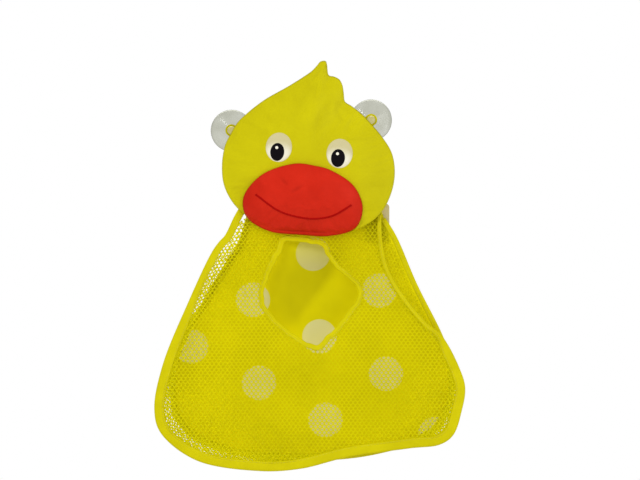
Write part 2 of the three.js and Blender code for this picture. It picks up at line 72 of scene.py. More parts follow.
def node_maker(tree):
    """A function that adds a node to a tree. Names in small letters are the node's options, the others its
    inputs. It gives one output of the node: the one asked for, else Fac, else the first in use."""
    def node(kind, *numbered, output=None, **named):
        made = tree.nodes.new("ShaderNode" + kind)
        for name in [name for name in named if name.islower()]:
            setattr(made, name, named.pop(name))
        feed(made, *numbered, **named)
        if output is None:
            output = "Fac" if "Fac" in made.outputs else next(out.name for out in made.outputs if out.enabled)
        return made.outputs[output]
    return node


def new_group(name, inputs, outputs):
    """An empty node group whose inputs and outputs have names and usual values. Gives the group, its maker of
    nodes, the values that are given to it and its end."""
    group = bpy.data.node_groups.new(name, "ShaderNodeTree")
    for way, sockets in (("INPUT", inputs), ("OUTPUT", outputs)):
        for key, usual in sockets.items():
            kind = {1: "NodeSocketFloat", 3: "NodeSocketVector", 4: "NodeSocketColor"}[np.size(usual)]
            group.interface.new_socket(key, in_out=way, socket_type=kind).default_value = usual
    given = group.nodes.new("NodeGroupInput").outputs
    return group, node_maker(group), given, group.nodes.new("NodeGroupOutput")


def new_material(name):
    """An empty node material, its shader, its maker of nodes and the place on the piece that patterns use."""
    material = bpy.data.materials.new(name)
    material.use_nodes = True
    node = node_maker(material.node_tree)
    return material, material.node_tree.nodes["Principled BSDF"], node, node("TexCoord", output="Object")


def add_lamp(name, place, size, power, mirrored):
    """A square soft lamp at a place, turned to shine at the bag; glossy things mirror it or don't."""
    lamp_data = bpy.data.lights.new(name, "AREA")
    lamp_data.size = size
    lamp_data.energy = power
    lamp = bpy.data.objects.new(name, lamp_data)
    bpy.context.scene.collection.objects.link(lamp)
    lamp.location = place
    lamp.visible_camera = False
    lamp.visible_transmission = False
    lamp.visible_glossy = mirrored
    direction = np.subtract(BAG_MIDDLE, place)
    turn = math.atan2(direction[1], direction[0]) - math.pi / 2
    tip = math.atan2(direction[2], math.hypot(direction[0], direction[1]))
    lamp.rotation_euler = (math.pi / 2 + tip, 0, turn)


camera_data = bpy.data.cameras.new("camera")
camera_data.sensor_width = SENSOR_WIDTH
camera_data.lens = SENSOR_WIDTH * CAMERA_DISTANCE / FRAME_WIDTH
camera = bpy.data.objects.new("camera", camera_data)
bpy.context.scene.collection.objects.link(camera)
camera.location = (FRAME_MIDDLE[0], -CAMERA_DISTANCE - BAG_FRONT, FRAME_MIDDLE[1])
camera.rotation_euler = (math.pi / 2, 0, 0)
bpy.context.scene.camera = camera
bpy.context.scene.view_settings.view_transform = "Standard"
bpy.context.scene.view_settings.look = "None"

world = bpy.data.worlds.new("white_surround")
bpy.context.scene.world = world
world.use_nodes = True
node = node_maker(world.node_tree)
strength = node("MapRange", Value=node("LightPath", output="Is Camera Ray"),
                To_Min=SURROUND_LIGHT, To_Max=SURROUND_SEEN)
feed(world.node_tree.nodes["Background"], Color=(1, 1, 1, 1), Strength=strength)

add_lamp("key_lamp", (-0.9, -1.5, 0.9), 0.9, 14.4, False)
add_lamp("sparkle_lamp", (-0.9, -1.48, 0.92), 0.08, 0.8, True)
add_lamp("fill_lamp", (1.3, -1.3, 0.1), 1.2, 9, True)
add_lamp("back_lamp", (0.1, 1.3, 0.1), 1.0, 12, False)

# A cloudy noise that blends from a dark colour to a light one.
mottle, node, given, result = new_group(
    "mottle", {"Place": (0, 0, 0), "Scale": 1.0, "Detail": 3.0, "Roughness": 0.5, "Low": 0.3, "High": 0.7,
               "Dark": (0, 0, 0, 1), "Light": (1, 1, 1, 1)},
    {"Colour": (1, 1, 1, 1), "Cloud": 0.0})
cloud = node("TexNoise", Vector=given["Place"], Scale=given["Scale"], Detail=given["Detail"],
             Roughness=given["Roughness"])
share = node("MapRange", Value=cloud, From_Min=given["Low"], From_Max=given["High"])
blended = node("Mix", data_type="RGBA", Factor=share, A=given["Dark"], B=given["Light"])
feed(result, Colour=blended, Cloud=cloud)

floor_paint, shader, node, place = new_material("pale_floor")
floor_tint = node("Group", node_tree=mottle, Place=place, Scale=2.5, Detail=4.0, Low=0.0, High=1.0,
                  Dark=(0.78, 0.78, 0.78, 1), Light=(0.82, 0.82, 0.82, 1))
feed(shader, Base_Color=floor_tint, Roughness=0.7)
floor_mesh = bpy.data.meshes.new("floor")
floor_corners = ((-1, -1), (1, -1), (1, 1), (-1, 1))
floor_mesh.from_pydata([(x * FLOOR_HALF, y * FLOOR_HALF, FLOOR_HEIGHT) for x, y in floor_corners],
                       [], [(0, 1, 2, 3)])
floor_mesh.materials.append(floor_paint)
floor = bpy.data.objects.new("floor", floor_mesh)
bpy.context.scene.collection.objects.link(floor)

# Suction cups: clear soft PVC mouldings, each a dome with a short neck and a knob.
# Each is one turned profile; the knob is pushed through the hole of a cloth tab, so the cup turns there.
CUP_HALF_SPAN = 75.0
CUP_HALF_RISE = 5.6
CUP_STEPS = 96
KNOB_BASE = 13.6
KNOB_RADIUS = 4.5
KNOB_WIDEST = (14.1, 14.8)
KNOB_CROWN = 3.0


def together(*columns):
    """Columns of coordinates as points, each column spread to the shape of the others."""
    return np.stack(np.broadcast_arrays(*columns), axis=-1)


def bend(start, over, end, count):
    """Points on a quadratic curve from start to end, drawn towards the point over."""
    t = np.linspace(0, 1, count)[:, None]
    return (1 - t) ** 2 * np.array(start) + 2 * t * (1 - t) * np.array(over) + t ** 2 * np.array(end)


def halved(quads):
    """Each four-sided face as two triangles, without those that have no area."""
    triangles = np.concatenate([quads[:, [0, 1, 2]], quads[:, [0, 2, 3]]])
    a, b, c = triangles.T
    return triangles[(a != b) & (b != c) & (c != a)]


def turned(profile, steps):
    """A closed profile of (radius, depth) turned about the depth axis; a row of radius 0 becomes one pole."""
    angle = np.linspace(0, 2 * np.pi, steps, endpoint=False)
    radius, depth = profile[:, :1], profile[:, 1:]
    index = np.arange(len(profile) * steps).reshape(len(profile), steps)
    index = np.where(radius < 1e-9, index[:, :1], index)
    after = np.roll(index, -1, axis=1)
    quads = np.stack([index[:-1], after[:-1], after[1:], index[1:]], axis=-1).reshape(-1, 4)
    return together(radius * np.cos(angle), radius * np.sin(angle), depth).reshape(-1, 3), halved(quads)


def new_piece(name, points, faces, material):
    """A smooth mesh object from points (x, height, depth out from the wall, in mm) and triangles."""
    used, faces = np.unique(faces, return_inverse=True)
    faces = faces.reshape(-1, 3)
    x, height, depth = np.asarray(points, float)[used].T
    mesh = bpy.data.meshes.new(name)
    mesh.vertices.add(len(used))
    mesh.vertices.foreach_set("co", (np.stack([x, -depth, height], axis=1) / 1000).ravel())
    mesh.loops.add(faces.size)
    mesh.loops.foreach_set("vertex_index", faces.ravel().astype(np.int32))
    mesh.polygons.add(len(faces))
    mesh.polygons.foreach_set("loop_start", np.arange(0, faces.size, 3, dtype=np.int32))
    mesh.polygons.foreach_set("use_smooth", np.ones(len(faces), bool))
    mesh.update(calc_edges=True)
    mesh.validate()
    piece = bpy.data.objects.new(name, mesh)
    bpy.context.scene.collection.objects.link(piece)
    mesh.materials.append(material)
    return piece


def point_values(piece, name, values, faces):
    """Stores one value for each point that a piece's faces use, for its material to read."""
    attribute = piece.data.attributes.new(name, "FLOAT", "POINT")
    attribute.data.foreach_set("value", np.ravel(values)[np.unique(faces)].astype(np.float32))


# A colour multiplied by a tint, in a share that changes over the surface.
tinted, node, given, result = new_group(
    "tinted", {"Colour": (1, 1, 1, 1), "Share": 1.0, "Tint": (1, 1, 1, 1)}, {"Colour": (1, 1, 1, 1)})
feed(result, Colour=node("Mix", data_type="RGBA", blend_type="MULTIPLY", Factor=given["Share"],
                         A=given["Colour"], B=given["Tint"]))

clear_pvc, shader, node, place = new_material("clear_pvc")
cloud_tint = node("Group", node_tree=mottle, Place=place, Scale=55.0,
                  Dark=(0.68, 0.69, 0.57, 1), Light=(0.85, 0.86, 0.75, 1))
from_middle = node("Attribute", attribute_name="share_of_radius")
# Painted see-through colour: near the knob the clear plastic is tinted yellow, for the yellow cloth tab seen
# through it.
near_knob = node("MapRange", Value=from_middle, From_Min=0.24, From_Max=0.19)
near_rim = node("MapRange", Value=from_middle, From_Min=0.90, From_Max=1.0)
tab_seen_through_tint = node("Group", node_tree=tinted, Colour=cloud_tint, Share=near_knob, Tint=(1.0, 0.88, 0.40, 1))
cup_tint = node("Group", node_tree=tinted, Colour=tab_seen_through_tint, Share=near_rim, Tint=(0.66, 0.66, 0.64, 1))
ripple = node("TexNoise", Vector=place, Scale=45.0, Detail=1.0)
feed(shader, Base_Color=cup_tint, Normal=node("Bump", Strength=0.08, Distance=0.0004, Height=ripple),
     Roughness=0.18, IOR=1.48, Transmission_Weight=1.0)

cup_bowl = bend((0, 6.6), (10.5, 6.6), (20.9, 0.0), 14)
cup_rim = [(22.1, 0.0), (22.5, 0.3), (22.5, 0.7)]
cup_shoulder = bend((22.3, 1.0), (20.6, 4.4), (18.6, 5.2), 8)
cup_cone = np.linspace((18.0, 5.4), (5.4, 9.9), 12)
cup_neck = [(4.2, 10.5), (3.4, 11.2), (3.2, 12.0), (3.2, 13.0), (3.5, 13.5), (4.1, KNOB_BASE)]
knob_side = [(KNOB_RADIUS, KNOB_WIDEST[0])]
knob_turn = np.linspace(0, np.pi / 2, 10)
knob_top = together(KNOB_RADIUS * np.cos(knob_turn), KNOB_WIDEST[1] + KNOB_CROWN * np.sin(knob_turn))
knob_top[-1, 0] = 0.0
cup_profile = np.concatenate([cup_bowl, cup_rim, cup_shoulder, cup_cone, cup_neck, knob_side, knob_top])
cup_points, cup_faces = turned(cup_profile, CUP_STEPS)
share_of_radius = np.hypot(cup_points[:, 0], cup_points[:, 1]) / cup_profile[:, 0].max()

for side, sign in (("left", -1), ("right", 1)):
    placed_points = cup_points + (sign * CUP_HALF_SPAN, sign * CUP_HALF_RISE, 0)
    cup = new_piece(f"clear_cup_{side}", placed_points, cup_faces, clear_pvc)
    point_values(cup, "share_of_radius", share_of_radius, cup_faces)
    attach(cup, f"cup_{side}")
    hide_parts(f"suction_cup_{side}")

# Cloth tabs: short folded straps of the head's cloth, sewn flat on the back of the head.
# The loose end has a round hole in which the neck of the cup sits, kept there by its knob.
TAB_HALF_WIDTH = 6.5
TAB_HOLE_RADIUS = 3.6
TAB_THICKNESS = 1.6
TAB_NEAR = 11.4
TAB_SEWN_DEPTH = 16.2
TAB_RAMP = (7.0, 16.0)
TAB_END = 27.0
TAB_GRID = (72, 26)
HEAD_CENTRE = np.array((7.5, -45.0))
# Painted shade: the tint that darkens cloth in the valleys of its creases.
FOLD_SHADE_TINT = (0.86, 0.85, 0.83, 1)


def closed_sheet(points, faces, thickness, across, waist=None):
    """A sheet given thickness: its points moved half each way along across, with a wall along each free edge
    that bends through the waist points where these are given."""
    count = len(points)
    offset = np.asarray(across, float) * thickness / 2
    edges = np.concatenate([faces[:, [0, 1]], faces[:, [1, 2]], faces[:, [2, 0]]]).astype(np.int64)
    one_way = edges[:, 0] * count + edges[:, 1]
    other_way = edges[:, 1] * count + edges[:, 0]
    start, end = edges[~np.isin(one_way, other_way)].T
    levels = [points + offset, points - offset]
    if waist is not None:
        levels.insert(1, waist)
    last = (len(levels) - 1) * count
    walls = np.concatenate([np.stack([start + low, start + low + count, end + low + count, end + low], axis=1)
                            for low in range(0, last, count)])
    return np.concatenate(levels), np.concatenate([faces, faces[:, ::-1] + last, halved(walls)])


def grid_quads(index, wrap_rows=False):
    """The four-sided faces of a grid of point numbers, closed in its first direction if it wraps."""
    rows = np.concatenate([index, index[:1]]) if wrap_rows else index
    return np.stack([rows[:-1, :-1], rows[1:, :-1], rows[1:, 1:], rows[:-1, 1:]], axis=-1).reshape(-1, 4)


def smoothstep(value, low, high):
    """A soft step from 0 at low to 1 at high."""
    t = np.clip((value - low) / (high - low), 0, 1)
    return t * t * (3 - 2 * t)


# Heights of a plain weave: its upright and its level threads multiplied.
weave, node, given, result = new_group("weave", {"Place": (0, 0, 0), "Threads": 700.0}, {"Height": 0.0})
warp, weft = (node("TexWave", Vector=given["Place"], Scale=given["Threads"], Distortion=1.5, Detail=1.0,
                   bands_direction=way) for way in "XZ")
feed(result, Height=node("Math", warp, weft, operation="MULTIPLY"))

# Heights of crumpled cloth: a share of the heights of its fine pattern added to soft, uneven creases.
crumpled, node, given, result = new_group(
    "crumpled", {"Place": (0, 0, 0), "Creases": 50.0, "Pattern": 0.0, "Share": 0.2},
    {"Height": 0.0, "Crumple": 0.0})
crumple = node("TexNoise", Vector=given["Place"], Scale=given["Creases"], Detail=5.0, Roughness=0.55)
feed(result, Crumple=crumple,
     Height=node("Math", given["Pattern"], given["Share"], crumple, operation="MULTIPLY_ADD"))

yellow_cloth, shader, node, place = new_material("yellow_coated_cloth")
cloth_tint = node("Group", node_tree=mottle, Place=place, Scale=22.0, Roughness=0.6,
                  Dark=(0.50, 0.445, 0.001, 1), Light=(0.56, 0.505, 0.0015, 1))
# The attribute read here darkens the cloth in its crease valleys: painted shade.
fold = node("Attribute", attribute_name="fold")
threads = node("Group", node_tree=weave, Place=place, Threads=700.0)
relief = node("Group", node_tree=crumpled, Place=place, Creases=55.0, Pattern=threads, Share=0.25)
feed(shader, Base_Color=node("Group", node_tree=tinted, Colour=cloth_tint, Share=fold, Tint=FOLD_SHADE_TINT),
     Normal=node("Bump", Strength=0.35, Distance=0.0006, Height=relief),
     Roughness=node("MapRange", Value=relief.node.outputs["Crumple"], To_Min=0.42, To_Max=0.56),
     Specular_IOR_Level=0.07)

around = np.linspace(0, 2 * np.pi, TAB_GRID[0], endpoint=False)
side_reach = TAB_HALF_WIDTH / np.maximum(np.abs(np.sin(around)), 1e-9)
end_reach = TAB_END / np.maximum(np.cos(around), 1e-9)
reach = np.where(np.cos(around) > 0, np.minimum(side_reach, end_reach), TAB_HALF_WIDTH)
radius = TAB_HOLE_RADIUS + (reach[:, None] - TAB_HOLE_RADIUS) * np.linspace(0, 1, TAB_GRID[1])
along = radius * np.cos(around)[:, None]
aside = radius * np.sin(around)[:, None]
tab_depth = TAB_NEAR + (TAB_SEWN_DEPTH - TAB_NEAR) * smoothstep(along, *TAB_RAMP) + TAB_THICKNESS / 2
tab_index = np.arange(along.size).reshape(TAB_GRID)

for side, sign in (("left", -1), ("right", 1)):
    cup_place = np.array((sign * CUP_HALF_SPAN, sign * CUP_HALF_RISE))
    towards = HEAD_CENTRE - cup_place
    turn = math.atan2(towards[1], towards[0])
    tab_points = together(cup_place[0] + along * math.cos(turn) - aside * math.sin(turn),
                          cup_place[1] + along * math.sin(turn) + aside * math.cos(turn), tab_depth)
    tab_faces = halved(grid_quads(tab_index, wrap_rows=True))[:, ::-1]
    tab_sheet = closed_sheet(tab_points.reshape(-1, 3), tab_faces, TAB_THICKNESS, (0, 0, 1))
    tab = new_piece(f"cup_strap_{side}", *tab_sheet, yellow_cloth)
    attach(tab, "organizer")
    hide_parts(f"cup_tab_{side}")

# Head: two covers of smooth coated cloth sewn face to face, turned right side out and lightly filled.
# The pad is drawn as a front and a back over one outline, then swollen as cloth with air inside.
HEAD_OUTLINE = np.array([
    (26.5, 68.3), (28.2, 59), (29.5, 53.2), (35.3, 51.8), (40.9, 48.7), (44.2, 42.5), (45.7, 32.6),
    (46.9, 25.1), (54, 20.3), (66.4, 10.3), (76.4, -0.5), (86.4, -12.4), (97, -30), (100.3, -51), (96.5, -73),
    (85.3, -94.4), (64, -110.5), (30, -116), (-5, -115), (-42, -106.5), (-68.5, -89), (-82, -67), (-85, -45),
    (-81.6, -21.7), (-75.5, -9.5), (-68.4, 2.4), (-59, 11.7), (-40, 26.5), (-13.4, 41.7), (1.8, 51.2),
    (11.5, 58), (17.7, 64.7), (20.5, 68)], float)
HEAD_STEPS = 720
HEAD_GRID = 121
HEAD_BACK_DEPTH = 18.1
HEAD_SEAM_DEPTH = 19.6
HEAD_FRONT_RISE = 12.0
HEAD_SWELL_LIMIT = 2.5
HEAD_SLACK = 0.012
PAD_FULLNESS = 0.65
PAD_ROLL = 10
PAD_CLOTH = {"quality": 5, "mass": 0.2, "tension_stiffness": 12, "compression_stiffness": 12,
             "bending_stiffness": 0.6, "use_pressure": True, "uniform_pressure_force": 4.0}
PAD_FRAMES = 20
CREASE_RIDGE = 0.6
CREASE_RIDGE_ASIDE = 1.6
DEPTH_TRIES = 4
HEAD_CREASES = (
    (36, 36, 9, -12, 6.5, 0.9), (26, 46, -4, -6, 6.5, -0.8), (36, 26, 58, 9, 3.0, 1.0),
    (37, 24, 44, 0, 3.0, 0.8), (40, -12.7, 86, -12.7, 1.8, -0.9), (-79, -65.5, -57, -65.5, 1.8, -0.8),
    (-34, 26, -13, 35, 2.4, 0.8))


def smooth_path(points, closed, count):
    """Evenly spaced points on a centripetal curve through the given points, each span a cubic with
    its end slopes set by the neighbouring points and the square roots of their distances."""
    points = np.asarray(points, float)
    if closed:
        padded = np.concatenate([points[-1:], points, points[:2]])
    else:
        padded = np.concatenate([2 * points[:1] - points[1:2], points, 2 * points[-1:] - points[-2:-1]])
    p0, p1, p2, p3 = padded[:-3], padded[1:-2], padded[2:-1], padded[3:]
    step = np.sqrt(np.linalg.norm(np.diff(padded, axis=0), axis=1))[:, None]
    s0, s1, s2 = step[:-2], step[1:-1], step[2:]
    slope1 = ((p1 - p0) / s0 - (p2 - p0) / (s0 + s1) + (p2 - p1) / s1) * s1
    slope2 = ((p2 - p1) / s1 - (p3 - p1) / (s1 + s2) + (p3 - p2) / s2) * s1
    t = np.linspace(0, 1, 24, endpoint=False)[None, :, None]
    a, b, c, d = (value[:, None, :] for value in (p1, slope1, p2, slope2))
    fine = (a * (2 * t ** 3 - 3 * t ** 2 + 1) + b * (t ** 3 - 2 * t ** 2 + t)
            + c * (3 * t ** 2 - 2 * t ** 3) + d * (t ** 3 - t ** 2)).reshape(-1, points.shape[1])
    fine = np.concatenate([fine, points[:1] if closed else points[-1:]])
    length = np.concatenate([[0], np.cumsum(np.linalg.norm(np.diff(fine, axis=0), axis=1))])
    wanted = np.linspace(0, length[-1], count, endpoint=not closed)
    return np.stack([np.interp(wanted, length, column) for column in fine.T], axis=1)


def outline_reach(outline, centre, angle):
    """Distance from a centre to an outline in each direction, for an outline seen whole from that centre."""
    offset = outline - centre
    known = np.arctan2(offset[:, 1], offset[:, 0])
    order = np.argsort(known)
    return np.interp(angle, known[order], np.hypot(*offset.T)[order], period=2 * np.pi)


def square_to_disc(a, b):
    """A square from -1 to 1 drawn onto a disc so that its rings become circles: share of radius and angle."""
    wide = np.abs(a) >= np.abs(b)
    long_side = np.where(wide, a, b)
    safe = np.where(np.abs(long_side) < 1e-12, 1e-12, long_side)
    eighth = np.pi / 4 * np.where(wide, b, a) / safe
    angle = np.where(wide, eighth, np.pi / 2 - eighth) + np.where(long_side < 0, np.pi, 0)
    return np.abs(long_side), angle


def disc_to_square(share, angle):
    """The way back from a share of the radius and an angle to the square from -1 to 1."""
    turn = (angle + np.pi / 4) % (2 * np.pi)
    quarter = np.floor(turn / (np.pi / 2)).astype(int)
    across = (turn - quarter * np.pi / 2 - np.pi / 4) / (np.pi / 4) * share
    a = np.choose(quarter, [share, -across, -share, across])
    b = np.choose(quarter, [across, share, -across, -share])
    return a, b


def outline_grid(outline, centre, count):
    """A square grid of points spread over the inside of an outline, with each one's share of the way out."""
    side = np.linspace(-1, 1, count)
    share, angle = square_to_disc(*np.meshgrid(side, side, indexing="ij"))
    reach = outline_reach(outline, centre, angle) * share
    return centre[0] + reach * np.cos(angle), centre[1] + reach * np.sin(angle), share


def outline_faces(index):
    """Triangles of an outline's grid of point numbers, each cell cut along the line that runs outwards."""
    quads = grid_quads(index)
    cell = np.linspace(-1, 1, len(index) - 1)
    turned_cells = np.multiply.outer(cell, cell).ravel() < 0
    quads[turned_cells] = np.roll(quads[turned_cells], 1, axis=1)
    return halved(quads)


def pad_swell(share):
    """Height of a pad at a share of the way out: full in the middle, rounding down to the seam."""
    return np.clip(1 - share ** 2, 0, 1) ** PAD_FULLNESS


def pad_faces(count):
    """Triangles of a front and a back grid that meet along their border."""
    front = np.arange(count * count).reshape(count, count)
    back = front + count * count
    back[0], back[-1], back[:, 0], back[:, -1] = front[0], front[-1], front[:, 0], front[:, -1]
    return np.concatenate([outline_faces(front), outline_faces(back)[:, ::-1]])


def swollen(name, points, faces, pinned, limit, slack):
    """The points after a cloth simulation with air inside, held at the seam, each moved at most limit."""
    used = np.unique(faces)
    pad = new_piece(name, points, faces, yellow_cloth)
    held = pad.vertex_groups.new(name="seam")
    held.add([int(i) for i in np.flatnonzero(pinned[used])], 1.0, "REPLACE")
    cloth = pad.modifiers.new("cloth", "CLOTH")
    for setting, value in PAD_CLOTH.items():
        setattr(cloth.settings, setting, value)
    cloth.settings.shrink_min = -slack
    cloth.settings.vertex_group_mass = "seam"
    cloth.settings.effector_weights.gravity = 0
    cloth.collision_settings.use_collision = False
    scene = bpy.context.scene
    for step in range(1, PAD_FRAMES + 1):
        scene.frame_set(step)
    shaped = pad.evaluated_get(bpy.context.evaluated_depsgraph_get()).data
    moved = np.empty(len(used) * 3)
    shaped.vertices.foreach_get("co", moved)
    moved = moved.reshape(-1, 3)[:, [0, 2, 1]] * (1000, 1000, -1000)
    scene.frame_set(1)
    bpy.data.objects.remove(pad)
    shift = moved - points[used]
    length = np.linalg.norm(shift, axis=1, keepdims=True)
    result = points.copy()
    result[used] += shift * np.minimum(1, limit / np.maximum(length, 1e-9))
    return result


def beside_line(x, height, x0, h0, x1, h1):
    """Where places lie by a line: their share of the way along it and their distance to one side."""
    run = np.hypot(x1 - x0, h1 - h0)
    along = ((x - x0) * (x1 - x0) + (height - h0) * (h1 - h0)) / run ** 2
    return along, ((x - x0) * (h1 - h0) - (height - h0) * (x1 - x0)) / run


def crease_depth(x, height, creases):
    """Depth of soft creases: each a valley along a line with a low ridge beside it, fading at both ends."""
    total = np.zeros_like(x)
    for *line, width, deep in creases:
        along, aside = beside_line(x, height, *line)
        fade = np.clip(1 - (2 * along - 1) ** 2, 0, 1)
        ridge = CREASE_RIDGE * np.exp(-((aside - CREASE_RIDGE_ASIDE * width) / width) ** 2)
        total += deep * fade * (np.exp(-(aside / width) ** 2) - ridge)
    return total


def soft_pad(name, grid, depths, limit, slack, creases, crease_share, material):
    """A sewn pad over a grid of (x, height, share): its front and back at two depths, swollen as cloth, then
    creased. Gives the piece and the grid of its front's points."""
    x, height, share = grid
    points = np.concatenate([together(x, height, depth).reshape(-1, 3) for depth in depths])
    faces = pad_faces(len(x))
    pinned = np.concatenate([(share > 0.999).ravel(), np.ones(x.size, bool)])
    points = swollen(f"{name}_air", points, faces, pinned, limit, slack)
    front = points[:x.size]
    # The crease depth of the front also goes to the material, which darkens the valleys with it: painted
    # shade.
    fold = np.zeros(len(points))
    fold[:x.size] = np.ravel(crease_share) * crease_depth(*front[:, :2].T, creases)
    points[:, 2] -= fold
    pad = new_piece(name, points, faces, material)
    point_values(pad, "fold", fold, faces)
    return pad, front.reshape(*x.shape, 3)


def surface_depth(x, height, surface, outline, centre):
    """Depth of a pad's front at places on it: the grid cell under each place is found by drawing the place
    back to the grid's square, correcting for how far the cloth has moved, and its corners are blended."""
    last = len(surface) - 1
    aim_x, aim_height = np.array(x, float), np.array(height, float)
    for attempt in range(DEPTH_TRIES):
        angle = np.arctan2(aim_height - centre[1], aim_x - centre[0])
        share = np.hypot(aim_x - centre[0], aim_height - centre[1]) / outline_reach(outline, centre, angle)
        a, b = disc_to_square(np.minimum(share, 1), angle)
        row, column = (np.clip((value + 1) / 2 * last, 0, last - 1e-6) for value in (a, b))
        i, j = row.astype(int), column.astype(int)
        u, v = (row - i)[..., None], (column - j)[..., None]
        found = (surface[i, j] * (1 - u) * (1 - v) + surface[i + 1, j] * u * (1 - v)
                 + surface[i, j + 1] * (1 - u) * v + surface[i + 1, j + 1] * u * v)
        aim_x = aim_x + (x - found[..., 0]) * (share < 1)
        aim_height = aim_height + (height - found[..., 1]) * (share < 1)
    return found[..., 2]


head_outline = smooth_path(HEAD_OUTLINE, True, HEAD_STEPS)
head_grid = outline_grid(head_outline, HEAD_CENTRE, HEAD_GRID)
head_swell = pad_swell(head_grid[2])
head_depths = (HEAD_SEAM_DEPTH + HEAD_FRONT_RISE * head_swell,
               HEAD_SEAM_DEPTH - (HEAD_SEAM_DEPTH - HEAD_BACK_DEPTH) * (1 - head_grid[2] ** PAD_ROLL))
head, head_front = soft_pad("duck_head", head_grid, head_depths, HEAD_SWELL_LIMIT, HEAD_SLACK, HEAD_CREASES,
                            head_swell, yellow_cloth)
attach(head, "organizer")
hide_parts("head_front_cover", "head_back_cover", "head_filling")

# Beak: a red pad of the same coated cloth, cut as one oval, filled and sewn on the front of the head.
# Its lower edge hangs just below the head and has its hem turned under.
BEAK_OUTLINE = np.array([
    (-6.7, -41.7), (14, -43.8), (31, -48.5), (56.2, -65.5), (65.8, -89), (58.3, -110.5), (30.8, -119),
    (-1.3, -117.8), (-35, -113.7), (-59, -98), (-61.8, -77.3), (-42, -53.5)], float)
BEAK_CENTRE = np.array((2.0, -82.0))
BEAK_STEPS = 480
BEAK_GRID = 91
BEAK_SEAT = 0.3
BEAK_SEAM = 1.0
BEAK_HEM = 1.2
BEAK_RISE = 8.4
BEAK_SWELL_LIMIT = 2.0
BEAK_SLACK = 0.008
BEAK_DENTS = (
    (-23, -56, -14, -66, 2.2, 0.9), (-12, -74, 3, -65, 2.2, 1.0), (12, -63, 27, -77, 5.0, -0.5),
    (-36, -112.2, 33, -116.2, 1.0, 1.5))

red_cloth, shader, node, place = new_material("red_coated_cloth")
red_tint = node("Group", node_tree=mottle, Place=place, Scale=26.0, Roughness=0.6,
                Dark=(0.50, 0.014, 0.004, 1), Light=(0.60, 0.020, 0.007, 1))
# The attribute read here darkens the red cloth in its dents: painted shade.
fold = node("Attribute", attribute_name="fold")
grain = node("TexVoronoi", Vector=place, Scale=1500.0)
relief = node("Group", node_tree=crumpled, Place=place, Creases=60.0, Pattern=grain, Share=0.15)
feed(shader, Base_Color=node("Group", node_tree=tinted, Colour=red_tint, Share=fold, Tint=FOLD_SHADE_TINT),
     Normal=node("Bump", Strength=0.35, Distance=0.0006, Height=relief),
     Roughness=node("MapRange", Value=relief.node.outputs["Crumple"], To_Min=0.40, To_Max=0.54),
     Specular_IOR_Level=0.07)

beak_outline = smooth_path(BEAK_OUTLINE, True, BEAK_STEPS)
beak_grid = outline_grid(beak_outline, BEAK_CENTRE, BEAK_GRID)
beak_share = beak_grid[2]
beak_seat = surface_depth(*beak_grid[:2], head_front, head_outline, HEAD_CENTRE) + BEAK_SEAT
beak_rise = BEAK_HEM * (1 - beak_share ** 12) + BEAK_RISE * pad_swell(beak_share) ** 0.7
beak_depths = (beak_seat + BEAK_SEAM + beak_rise, beak_seat + BEAK_SEAM * beak_share ** PAD_ROLL)
beak, beak_front = soft_pad("red_beak", beak_grid, beak_depths, BEAK_SWELL_LIMIT, BEAK_SLACK, BEAK_DENTS,
                            1.0, red_cloth)
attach(beak, "organizer")
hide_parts("beak_cover", "beak_filling")

# Smile: one line of thick dark red thread, sewn through the beak's cover in short stitches.
# It is a flattened tube that follows the beak's front, with a rounded ridge for each stitch.
SMILE_POINTS = np.array([
    (-48.7, -74.6), (-24.2, -92), (-3.5, -98.7), (14.7, -100.6), (34, -97.2), (53.8, -85.9)])
SMILE_STEPS = 420
SMILE_SIDES = 10
SMILE_HALF_WIDTH = 1.0
SMILE_HALF_HEIGHT = 0.7
SMILE_LIFT = 0.2
SMILE_STITCH = 2.2
SMILE_RIDGE = 0.28

smile_red, shader, node, place = new_material("smile_thread")
thread_tint = node("Group", node_tree=mottle, Place=place, Scale=900.0, Detail=2.0, Low=0.0, High=1.0,
                   Dark=(0.27, 0.0015, 0.001, 1), Light=(0.42, 0.003, 0.002, 1))
fibre = thread_tint.node.outputs["Cloud"]
feed(shader, Base_Color=thread_tint, Normal=node("Bump", Strength=0.4, Distance=0.0002, Height=fibre),
     Roughness=0.6, Specular_IOR_Level=0.04)


def path_sides(path, closed):
    """Unit vectors to the left of a flat path's direction."""
    if closed:
        along = np.roll(path, -1, axis=0) - np.roll(path, 1, axis=0)
    else:
        along = np.gradient(path, axis=0)
    along = along / np.linalg.norm(along, axis=1, keepdims=True)
    return np.stack([-along[:, 1], along[:, 0]], axis=1)


def tube_faces(stations, sides, closed):
    """Triangles of a tube whose rings lie one after the other, with flat ends where it isn't closed."""
    index = np.arange(stations * sides).reshape(stations, sides)
    ring = np.concatenate([index, index[:, :1]], axis=1)
    faces = halved(grid_quads(ring, wrap_rows=closed))[:, ::-1]
    if closed:
        return faces
    fan = np.stack([np.zeros(sides - 2, int), np.arange(1, sides - 1), np.arange(2, sides)], axis=1)
    return np.concatenate([faces, fan[:, ::-1], fan + (stations - 1) * sides])


